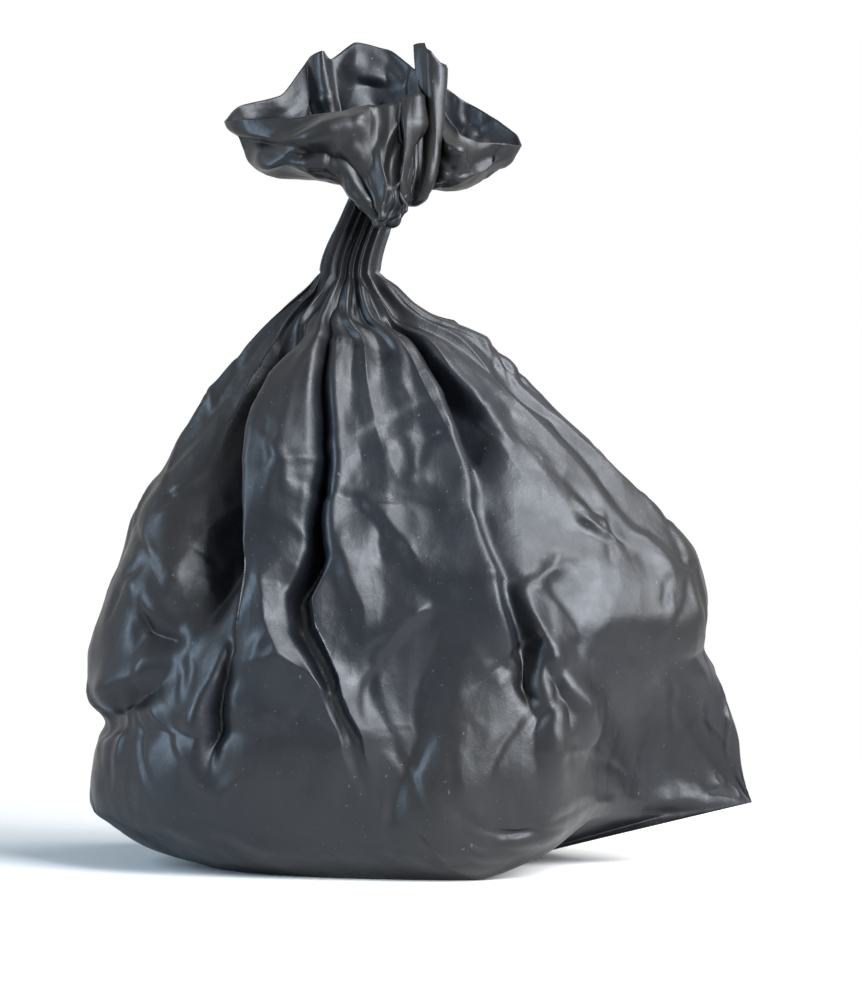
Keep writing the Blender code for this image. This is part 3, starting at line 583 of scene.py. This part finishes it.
def neck_surface(angle, share):
    """The gathered neck: its radius and centre ease from the throat (0) to the foot (1)."""
    ease = smooth_step(share)
    outer_throat = THROAT_RADIUS + MOUTH_FILM / 2
    pleats = gathers(angle, smooth_step(share / NECK_GATHER_EASE))
    radius = outer_throat + (NECK_RADIUS - outer_throat) * ease + pleats
    centre = THROAT_SIDE_SHIFT + (NECK_SIDE_SHIFT - THROAT_SIDE_SHIFT) * ease
    z = BODY_HEIGHT + NECK_HEIGHT * (1 - share)
    return np.stack([centre + radius * np.sin(angle), -radius * np.cos(angle), z], axis=-1)


print(len(MOUTH_STATIONS), "stations and", len(MOUTH_FOLDS), "creases round the mouth")

# %% [markdown]
# Film hardly stretches, and it buckles at the least push. So the laid-out film is made a little
# too long for its shape and left to settle, as a net of short threads. Each round brings every
# thread back towards its own length. A weak pull towards the laid-out shape keeps the big folds,
# and what is too long crumples up between them.

# %% A net of threads that settles
THREAD_STRENGTH = {"across": 0.45, "along": 0.45, "over": 0.3}
CARRIED_ON = 0.9
SEED_HEIGHT = 0.02
NET_SEED = 7


def thread_sets(ring_count, column_count):
    """Pairs of points joined by threads, in sets in which no point is used twice.

    A set is (kind, first points, second points). The kinds are across, along, over (the two
    corner threads of a cell) and bend, which skips a point and keeps the film from kinking.
    """
    index = np.arange(ring_count * column_count).reshape(ring_count, column_count)

    def turned(step):
        return np.roll(index, -step, axis=1)

    sets = []
    for start in (0, 1):
        sets.append(("across", index[:, start::2], turned(1)[:, start::2]))
        sets.append(("along", index[start:-1:2], index[start + 1::2]))
        sets.append(("over", index[start:-1:2], turned(1)[start + 1::2]))
        sets.append(("over", index[start + 1::2], turned(1)[start:-1:2]))
    for start in range(4):
        sets.append(("bend across", index[:, start::4], turned(2)[:, start::4]))
        first = index[start:-2:4]
        sets.append(("bend along", first, index[start + 2::4][:len(first)]))
    return [(kind, first.ravel(), second.ravel()) for kind, first, second in sets]


def settle(anchor, begin, across, along, hold, reach, rounds, bend):
    """Lets a grid of film that is `across` and `along` times its laid-out length settle near `anchor`.

    Each round carries on with nine tenths of the last move, brings every thread towards its own
    length, and moves each point `hold` of the way back to the anchor. No point gets further from
    the anchor than `reach`, or under the floor. `bend` is the strength of the bend threads.
    """
    shape = anchor.shape
    grown = {"across": across, "along": along, "over": (across + along) / 2, "bend across": across,
             "bend along": along}
    strength = {**THREAD_STRENGTH, "bend across": bend[0], "bend along": bend[1]}
    home = anchor.reshape(-1, 3)
    points = begin.reshape(-1, 3).copy()
    threads = []
    for kind, first, second in thread_sets(*shape[:2]):
        rest = np.linalg.norm(points[second] - points[first], axis=1) * grown[kind].ravel()[first]
        threads.append((first, second, rest, strength[kind]))
    pull_back = hold.reshape(-1, 1)
    limit = reach.reshape(-1, 1)
    before = points.copy()
    for _ in range(rounds):
        moved = points + CARRIED_ON * (points - before)
        before = points
        points = moved
        for first, second, rest, share in threads:
            gap = points[second] - points[first]
            length = np.sqrt(np.einsum("ij,ij->i", gap, gap)) + 1e-9
            move = gap * (share * (1 - rest / length))[:, None]
            points[first] += move
            points[second] -= move
        offset = (points - home) * (1 - pull_back)
        far = np.linalg.norm(offset, axis=1, keepdims=True) + 1e-9
        points = home + offset * np.minimum(1, limit / far)
        points[:, 2] = np.maximum(points[:, 2], 0.0)
    return points.reshape(shape)


def finer(offsets, ring_count, column_count):
    """Offsets on a coarse grid read on a finer one by Catmull-Rom curves, along and then across."""
    place = np.linspace(0, len(offsets) - 1, ring_count)
    cell = np.minimum(place.astype(int), len(offsets) - 2)
    four = [offsets[np.clip(cell + step, 0, len(offsets) - 1)] for step in (-1, 0, 1, 2)]
    offsets = spline_at(*four, (place - cell)[:, None, None])
    place = np.arange(column_count) * offsets.shape[1] / column_count
    cell = place.astype(int)
    four = [offsets[:, (cell + step) % offsets.shape[1]] for step in (-1, 0, 1, 2)]
    return spline_at(*four, (place - cell)[None, :, None])


def settle_in_steps(surface, counts, growth, hold, reach, plan):
    """Settles a film on coarser grids first, so that long folds form before short ones.

    `surface`, `growth`, `hold` and `reach` are functions of the angle and the share. `plan` lists
    (times coarser, rounds, bend, excess). The excess scales the growth and a small random start.
    """
    ring_count, column_count = counts
    offsets = None
    for coarser, rounds, bend, excess in plan:
        rows, columns = (ring_count - 1) // coarser + 1, column_count // coarser
        angle, share = film_grid(rows, columns)
        anchor = surface(angle, share, coarser)
        offsets = np.zeros(anchor.shape) if offsets is None else finer(offsets, rows, columns)
        seeds = np.random.default_rng(NET_SEED).normal(size=(rows, columns)) * (hold(angle, share) < 1)
        offsets += outward(anchor) * (SEED_HEIGHT * excess * seeds)[..., None]
        across, along = (1 + excess * more for more in growth(angle, share))
        settled = settle(anchor, anchor + offsets, across, along, hold(angle, share),
                         reach(angle, share), rounds, bend)
        offsets = settled - anchor
    return settled


def settled_film(name, surface, counts, growth, hold, reach, plan):
    """The film of `surface` with its angles and shares, let settle."""
    angle, share = film_grid(*counts)
    film = surface(angle, share)
    clock = time.time()
    film = settle_in_steps(surface, counts, growth, hold, reach, plan)
    print(name, "settled in", round(time.time() - clock, 1), "seconds")
    return film, angle, share


print("net ready")

# %% [markdown]
# Film's bends gather in sharp creases, and between them it is nearly flat. Flat facets give that
# look: random heights on a lattice of triangles. The lattice closes round the bag, and slow sines
# bend it so that no crease runs quite straight. Short creases stand for the marks of handling.

# %% Flat facets and handling marks
MARK_TURN = 0.7
LEAST_LENGTH, LEAST_RISE = 0.3, 0.4
MOST_BEND, WIDEST_FLANK = 0.3, 3.0


def facets(angle, share, around, along, seed):
    """Random heights from -1 to 1 at the corners of a lattice of triangles, joined by flat faces.

    `around` cells go round the bag and `along` cells go down. Each row of cells is shifted by half
    a cell, and each cell is cut along its diagonal.
    """
    heights = np.random.default_rng(seed).uniform(-1, 1, (along + 3, around))
    v = share * along + 1 + 0.3 * np.sin(3 * angle + 1.3 * seed) + 0.2 * np.sin(8 * angle + seed)
    u = (angle / math.tau + 0.5) * around + v / 2 + 0.35 * np.sin(along * share * 1.9 + 2 * angle + seed)
    row, column = np.floor(v).astype(int), np.floor(u).astype(int)
    down, across = v - row, u - column
    row = np.clip(row, 0, along + 1)
    here, right = heights[row, column % around], heights[row, (column + 1) % around]
    below, corner = heights[row + 1, column % around], heights[row + 1, (column + 1) % around]
    upper = here + (right - here) * across + (corner - right) * down
    lower = here + (corner - below) * across + (below - here) * down
    return np.where(across > down, upper, lower)


def handling_marks(plane, count, length, rise, spread, seed):
    """Short creases at random places and turns, as handling leaves them: tents up or down."""
    draw = np.random.default_rng(seed)
    shape = plane.shape[:-1]
    height, lean, room = np.zeros(shape), np.zeros(shape), np.ones(shape)
    low, high = plane.min(axis=(0, 1)), plane.max(axis=(0, 1))
    for _ in range(count):
        middle = draw.uniform(low, high)
        turn = draw.normal(0.0, MARK_TURN)
        half = np.array([math.sin(turn), math.cos(turn)]) * draw.uniform(LEAST_LENGTH, 1.0) * length / 2
        bend = np.array([half[1], -half[0]]) * draw.uniform(-MOST_BEND, MOST_BEND)
        spots = np.array([middle - half, middle + bend, middle + half])
        up = rise * draw.uniform(LEAST_RISE, 1.0) * draw.choice([-1, 1])
        wide, narrow = spread * draw.uniform(1.0, WIDEST_FLANK), spread
        left, right = (wide, narrow) if draw.random() < 0.5 else (narrow, wide)
        add_fold(height, lean, plane, room, spots, up, left, right, 0, False)
    return height


def crumpled(points, angle, share, layers, marks, strength):
    """Moves film along its normals by marks and by layers of facets: (cells round, cells down, height)."""
    height = marks + sum(rise * facets(angle, share, around, along, seed)
                         for seed, (around, along, rise) in enumerate(layers))
    return points + outward(points) * (height * strength)[..., None]


print("facets ready")

# %% [markdown]
# The body's film is much too wide where it is gathered and hardly at all lower down, so that it
# wrinkles under the neck and stays taut over the rubbish. It is held at the neck and at the foot.

# %% The body's film settles and creases
BODY_ROWS, BODY_COLUMNS = 209, 432
BODY_PLAN = [(8, 400, (0.1, 0.45), 0.02), (4, 120, (0.1, 0.45), 0.004), (2, 30, (0.05, 0.1), 0),
             (1, 8, (0, 0.05), 0)]
BODY_WIDER, BODY_LONGER = 0.1, -0.1
NECK_WIDER, NECK_FADE = 0.6, 0.1
BODY_PULL, BODY_EDGE = 0.001, 0.03
NECK_REACH, BODY_REACH, REACH_FULL = 0.006, 0.02, 0.4
BODY_FACETS = [(15, 4, 0.0045), (29, 6, 0.0009), (67, 14, 0.0003)]
BODY_MARKS = {"count": 260, "length": 0.08, "rise": 0.0017, "spread": 0.0016, "seed": 5}


def body_growth(angle, down):
    """Growth across and along, as multiples of the excess: wide under the neck, a little short along."""
    return BODY_WIDER + NECK_WIDER * np.exp(-down / NECK_FADE), np.full(down.shape, BODY_LONGER)


def body_hold(angle, down):
    """Held at the neck and at the foot, and nearly free between them."""
    free = smooth_step(down / BODY_EDGE) * smooth_step((1 - down) / BODY_EDGE)
    return BODY_PULL + (1 - BODY_PULL) * (1 - free)


def body_reach(angle, down):
    """How far the film may wander: 6 mm at the neck, 20 mm low down."""
    return NECK_REACH + (BODY_REACH - NECK_REACH) * smooth_step(down / REACH_FULL)


body, angle, down = settled_film("body", folded_body, (BODY_ROWS, BODY_COLUMNS), body_growth, body_hold,
                                 body_reach, BODY_PLAN)
marks = handling_marks(film_plane(angle, down), **BODY_MARKS)
body = crumpled(body, angle, down, BODY_FACETS, marks, 1 - body_hold(angle, down))
body[..., 2] = np.maximum(body[..., 2], 0.0)

# %% [markdown]
# The body goes on up into the lower neck, which tucks inside the upper one, and ends below in a
# flat base: the foot's ring, drawn together to its middle.

# %% The lower neck and the base
BASE_ROWS = 8
NECK_ROWS = 24
NECK_SPLIT = 0.5
NECK_OVERLAP = 0.1
TUCK_BELOW, TUCK = 0.02, 0.25

neck_shares = np.linspace(NECK_SPLIT - NECK_OVERLAP, 1.0, NECK_ROWS // 2)[:-1]
neck_angle, neck_share = np.meshgrid(film_angles(BODY_COLUMNS), neck_shares)
lower_neck = neck_surface(neck_angle, neck_share)
tuck = smooth_step((NECK_SPLIT + TUCK_BELOW - neck_share) / NECK_OVERLAP)[..., None]
lower_neck += (lower_neck.mean(axis=1, keepdims=True) - lower_neck) * TUCK * tuck
foot = body[-1].mean(axis=0) * [1, 1, 0]
base = foot + (body[-1] - foot) * np.linspace(1.0, 0.0, BASE_ROWS + 1)[1:-1, None, None]
body_rows = np.concatenate([lower_neck, body, base])
body_top = lower_neck[0].mean(axis=0)
print("body of", body_rows.shape[0], "rows from", body_top[2].round(3), "m down to the floor")

# %% [markdown]
# The mouth's film is too long both ways, so it crumples most near its free rim.

# %% The mouth's film settles and creases
MOUTH_ROWS, MOUTH_COLUMNS = 81, 400
MOUTH_PLAN = [(8, 300, (0.1, 0.1), 0.012), (4, 120, (0.1, 0.1), 0.004), (2, 20, (0.05, 0.05), 0),
              (1, 6, (0, 0), 0)]
MOUTH_WIDER, RIM_WIDER, MOUTH_LONGER = 0.5, 0.5, 0.5
MOUTH_PULL, MOUTH_EDGE = 0.002, 0.15
THROAT_REACH, RIM_REACH_MORE = 0.003, 0.006
MOUTH_FACETS = [(13, 2, 0.006), (25, 4, 0.0024)]
MOUTH_MARKS = {"count": 70, "length": 0.05, "rise": 0.0018, "spread": 0.0015, "seed": 6}


def mouth_growth(angle, along):
    """Growth across and along, as multiples of the excess: widest at the rim."""
    return MOUTH_WIDER + RIM_WIDER * along, np.full(along.shape, MOUTH_LONGER)


def mouth_hold(angle, along):
    """Held at the throat and nearly free at the rim."""
    return MOUTH_PULL + (1 - MOUTH_PULL) * (1 - smooth_step(along / MOUTH_EDGE))


def mouth_reach(angle, along):
    """How far the mouth's film may wander: 3 mm at the throat, 9 mm at the rim."""
    return THROAT_REACH + RIM_REACH_MORE * smooth_step(along)


mouth, angle, along = settled_film("mouth", pleated_mouth, (MOUTH_ROWS, MOUTH_COLUMNS), mouth_growth,
                                   mouth_hold, mouth_reach, MOUTH_PLAN)
marks = handling_marks(mouth_plane(angle, along), **MOUTH_MARKS)
mouth = crumpled(mouth, angle, along, MOUTH_FACETS, marks, 1 - mouth_hold(angle, along))

# %% [markdown]
# The mouth is one skin: from a pleated pit in the throat up the inner face of the film, over the
# rim, and down the outer face to the upper neck.

# %% The throat, the film's two faces and the upper neck
PIT_ROWS = 12
PIT_DEPTH = 0.026
PIT_NARROWING, PIT_CURVE = 0.8, 0.7
PIT_PLEATS, PIT_PLEATS_FULL = 1.5, 0.25

inner, outer = both_faces(mouth)
angles = film_angles(MOUTH_COLUMNS)
upper_neck = neck_surface(*np.meshgrid(angles, np.linspace(0.0, NECK_SPLIT, NECK_ROWS // 2)[1:]))
pit_angle, pit_share = np.meshgrid(angles, np.linspace(1.0, 0.0, PIT_ROWS + 1)[:-1])
throat_middle = inner[0].mean(axis=0)
narrowing = 1 - PIT_NARROWING * pit_share ** PIT_CURVE
pit_pleats = gathers(pit_angle, smooth_step(pit_share / PIT_PLEATS_FULL))
narrowing *= 1 + pit_pleats / THROAT_RADIUS * PIT_PLEATS
pit = throat_middle + (inner[0] - throat_middle) * narrowing[..., None]
pit[..., 2] -= PIT_DEPTH * pit_share
mouth_rows = np.concatenate([pit, inner, outer[::-1], upper_neck])
mouth_top = throat_middle - [0, 0, PIT_DEPTH]
print("mouth of", mouth_rows.shape[0], "rows over a pit of", PIT_DEPTH * 1000, "mm")

# %% [markdown]
# Both surfaces are moved together, so that they stand in the middle of the solid's box.

# %% Two pieces
every = np.concatenate([body_rows.reshape(-1, 3), mouth_rows.reshape(-1, 3)])
shift = (every.min(axis=0) + every.max(axis=0)) / 2 * [1, 1, 0] - (BAG_LOW + BAG_HIGH) / 2 * [1, 1, 0]
bag_body = film_object("bag_body", body_rows - shift, body_top - shift, foot - shift)
bag_mouth = film_object("bag_mouth", mouth_rows - shift, mouth_top - shift)
for piece in (bag_body, bag_mouth):
    print(piece.name, len(piece.data.vertices), "points", len(piece.data.polygons), "faces")

# %% [markdown]
# The film's material is a dark dielectric with a soft gloss. Its colour is nearly black and
# drifts between cool and warm. What shows is mostly its reflection, so the roughness varies a
# little, and fine wrinkles in the bump break up the highlights.

# %% Film material
COOL_FILM = (0.003, 0.004, 0.0065, 1)
WARM_FILM = (0.006, 0.0056, 0.0056, 1)
TINT_STOPS = (0.38, 0.62)
DUST = (0.1, 0.1, 0.1, 1)
FILM_IOR = 1.38
FILM_REFLECTION = (0.9, 0.94, 1, 1)
DRAWN_OUT = (1, 1, 0.4)


def add_node(tree, kind, **values):
    """A shader node with its input sockets set by name."""
    node = tree.nodes.new(kind)
    for socket, value in values.items():
        node.inputs[socket.replace("_", " ")].default_value = value
    return node


def wire(tree, *links):
    """Joins sockets: each link is (node, output, node, input)."""
    for source, output, target, socket in links:
        tree.links.new(source.outputs[output], target.inputs[socket])


def film_colour(tree, place, shader):
    """Slow noise drifts between two near-blacks, and where fast noise peaks there is a speck of dust."""
    drift = add_node(tree, "ShaderNodeTexNoise", Scale=5.0, Detail=3.0, Roughness=0.5)
    tint = tree.nodes.new("ShaderNodeValToRGB")
    for stop, position, colour in zip(tint.color_ramp.elements, TINT_STOPS, (COOL_FILM, WARM_FILM)):
        stop.position = position
        stop.color = colour
    specks = add_node(tree, "ShaderNodeTexNoise", Scale=420.0, Detail=1.0, Roughness=0.5)
    dust = add_node(tree, "ShaderNodeMapRange", From_Min=0.74, From_Max=0.8, To_Max=0.5)
    mixed = tree.nodes.new("ShaderNodeMix")
    mixed.data_type = "RGBA"
    mixed.inputs["B"].default_value = DUST
    wire(tree, (place, "Object", drift, "Vector"), (drift, "Fac", tint, "Fac"), (tint, "Color", mixed, "A"),
         (place, "Object", specks, "Vector"), (specks, "Fac", dust, "Value"),
         (dust, "Result", mixed, "Factor"), (mixed, "Result", shader, "Base Color"))


def film_gloss(tree, place, shader):
    """Noise varies the roughness between two values."""
    grain = add_node(tree, "ShaderNodeTexNoise", Scale=38.0, Detail=5.0, Roughness=0.65)
    gloss = add_node(tree, "ShaderNodeMapRange", From_Min=0.35, From_Max=0.65, To_Min=0.36, To_Max=0.48)
    wire(tree, (place, "Object", grain, "Vector"), (grain, "Fac", gloss, "Value"),
         (gloss, "Result", shader, "Roughness"))


def film_bump(tree, place, shader):
    """A Voronoi pattern drawn out down the bag, as small creased facets, and a finer noise over it."""
    drawn_out = add_node(tree, "ShaderNodeMapping", Scale=DRAWN_OUT)
    small = add_node(tree, "ShaderNodeTexVoronoi", Scale=75.0)
    fine = add_node(tree, "ShaderNodeTexNoise", Scale=260.0, Detail=3.0, Roughness=0.6)
    crumple = add_node(tree, "ShaderNodeBump", Strength=0.13, Distance=0.004)
    texture = add_node(tree, "ShaderNodeBump", Strength=0.16, Distance=0.001)
    wire(tree, (place, "Object", drawn_out, "Vector"), (drawn_out, "Vector", small, "Vector"),
         (small, "Distance", crumple, "Height"), (place, "Object", fine, "Vector"),
         (fine, "Fac", texture, "Height"), (crumple, "Normal", texture, "Normal"),
         (texture, "Normal", shader, "Normal"))


film = bpy.data.materials.new("dark_film")
film.use_nodes = True
shader = film.node_tree.nodes["Principled BSDF"]
shader.inputs["IOR"].default_value = FILM_IOR
shader.inputs["Specular Tint"].default_value = FILM_REFLECTION
place = film.node_tree.nodes.new("ShaderNodeTexCoord")
for part_of_look in (film_colour, film_gloss, film_bump):
    part_of_look(film.node_tree, place, shader)
for piece in (bag_body, bag_mouth):
    piece.data.materials.append(film)
print("material", film.name)

# %% [markdown]
# The pieces ride on the solid's one body and stand for its one node.

# %% Tie the film to the frame
for piece in (bag_body, bag_mouth):
    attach(piece, "root")
    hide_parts("bin_bag")

# %% [markdown]
# The studio. The world is white to the camera and to glossy and transmission rays, and dim to the
# rest, so that the film mirrors a white room but the lamps shape it: a wide soft key at the upper
# right, one above, one on the right flank, and a narrow cool one at the left.

# %% World and lamps
OTHER_RAYS = 0.08
AIM = (0.0, 0.0, 0.25)
# Name, place, width, height, power and colour
LAMPS = [
    ("key_softbox", (1.1, -1.4, 1.0), 0.9, 1.1, 92.0, (0.94, 0.97, 1.0)),
    ("top_softbox", (0.9, -0.3, 1.7), 0.9, 0.7, 42.0, (1, 1, 1)),
    ("left_softbox", (-1.3, -0.5, 0.6), 0.3, 1.0, 20.0, (0.62, 0.82, 1.0)),
    ("flank_softbox", (1.65, -0.65, 0.75), 0.6, 0.9, 26.0, (1, 1, 1)),
]

world = bpy.data.worlds.new("studio")
scene.world = world
world.use_nodes = True
sky = world.node_tree
background = sky.nodes["Background"]
background.inputs["Color"].default_value = (1, 1, 1, 1)
rays = sky.nodes.new("ShaderNodeLightPath")
white_to = rays.outputs["Is Camera Ray"]
for kind in ("Is Transmission Ray", "Is Glossy Ray"):
    either = sky.nodes.new("ShaderNodeMath")
    either.operation = "MAXIMUM"
    sky.links.new(white_to, either.inputs[0])
    sky.links.new(rays.outputs[kind], either.inputs[1])
    white_to = either.outputs[0]
level = add_node(sky, "ShaderNodeMapRange", To_Min=OTHER_RAYS, To_Max=1.0)
sky.links.new(white_to, level.inputs["Value"])
wire(sky, (level, "Result", background, "Strength"))


def soft_lamp(name, place, width, height, power, colour):
    """A rectangular area lamp at `place`, turned to face the bag."""
    lamp = bpy.data.lights.new(name, "AREA")
    lamp.shape = "RECTANGLE"
    lamp.size, lamp.size_y = width, height
    lamp.energy = power
    lamp.color = colour
    holder = bpy.data.objects.new(name, lamp)
    holder.location = place
    holder.rotation_euler = (Vector(AIM) - Vector(place)).to_track_quat("-Z", "Y").to_euler()
    scene.collection.objects.link(holder)


for lamp_row in LAMPS:
    soft_lamp(*lamp_row)
print(len(LAMPS), "lamps")

# %% [markdown]
# A pale matt floor fades to clear away from the bag, so that only its shadow shows on the white.

# %% Floor
FLOOR_REACH = 6.0
FLOOR_DROP = 0.0005
FLOOR_FADES_FROM, FLOOR_FADES_TO = 0.3, 0.75
corners = [(x * FLOOR_REACH, y * FLOOR_REACH, 0) for x, y in ((-1, -1), (1, -1), (1, 1), (-1, 1))]
floor_mesh = bpy.data.meshes.new("floor")
floor_mesh.from_pydata(corners, [], [(0, 1, 2, 3)])
floor = bpy.data.objects.new("floor", floor_mesh)
floor.location.z = -FLOOR_DROP
scene.collection.objects.link(floor)
pale = bpy.data.materials.new("pale_floor")
pale.use_nodes = True
tree = pale.node_tree
matt = tree.nodes["Principled BSDF"]
matt.inputs["Base Color"].default_value = (0.85, 0.85, 0.85, 1)
matt.inputs["Roughness"].default_value = 0.9
place = tree.nodes.new("ShaderNodeTexCoord")
length = tree.nodes.new("ShaderNodeVectorMath")
length.operation = "LENGTH"
fade = add_node(tree, "ShaderNodeMapRange", From_Min=FLOOR_FADES_FROM, From_Max=FLOOR_FADES_TO)
fade.interpolation_type = "SMOOTHSTEP"
clear = tree.nodes.new("ShaderNodeBsdfTransparent")
blend = tree.nodes.new("ShaderNodeMixShader")
surface = tree.nodes["Material Output"]
wire(tree, (place, "Object", length, 0), (length, "Value", fade, "Value"), (fade, "Result", blend, "Fac"),
     (matt, "BSDF", blend, 1), (clear, "BSDF", blend, 2), (blend, "Shader", surface, "Surface"))
floor_mesh.materials.append(pale)
print("floor", FLOOR_REACH * 2, "m wide")

# %% [markdown]
# The camera looks at the front from far off, a little from above, with one pixel of the photograph
# to 0.65 mm at the bag.

# %% Camera
PHOTO_WIDTH, PHOTO_HEIGHT = 862, 997
METRES_PER_PIXEL = 0.00065
PHOTO_MIDDLE_X, PHOTO_FLOOR_Y = 420, 865
CAMERA_DISTANCE = 3.2
CAMERA_ELEVATION = math.radians(2.0)
SENSOR_WIDTH = 36.0
camera_data = bpy.data.cameras.new("camera")
camera_data.sensor_fit = "HORIZONTAL"
camera_data.sensor_width = SENSOR_WIDTH
camera_data.lens = SENSOR_WIDTH * CAMERA_DISTANCE / (PHOTO_WIDTH * METRES_PER_PIXEL)
camera = bpy.data.objects.new("camera", camera_data)
centre = Vector(((PHOTO_WIDTH / 2 - PHOTO_MIDDLE_X) * METRES_PER_PIXEL - shift[0], 0.0,
                 (PHOTO_FLOOR_Y - PHOTO_HEIGHT / 2) * METRES_PER_PIXEL))
away = Vector((0.0, -math.cos(CAMERA_ELEVATION), math.sin(CAMERA_ELEVATION)))
camera.location = centre + away * CAMERA_DISTANCE
camera.rotation_euler = (-away).to_track_quat("-Z", "Y").to_euler()
scene.collection.objects.link(camera)
scene.camera = camera
scene.view_settings.view_transform = "Standard"
print("lens", round(camera_data.lens, 1), "mm; shift", shift.round(4))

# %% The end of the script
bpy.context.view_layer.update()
print("made in", round(time.time() - STARTED), "seconds")
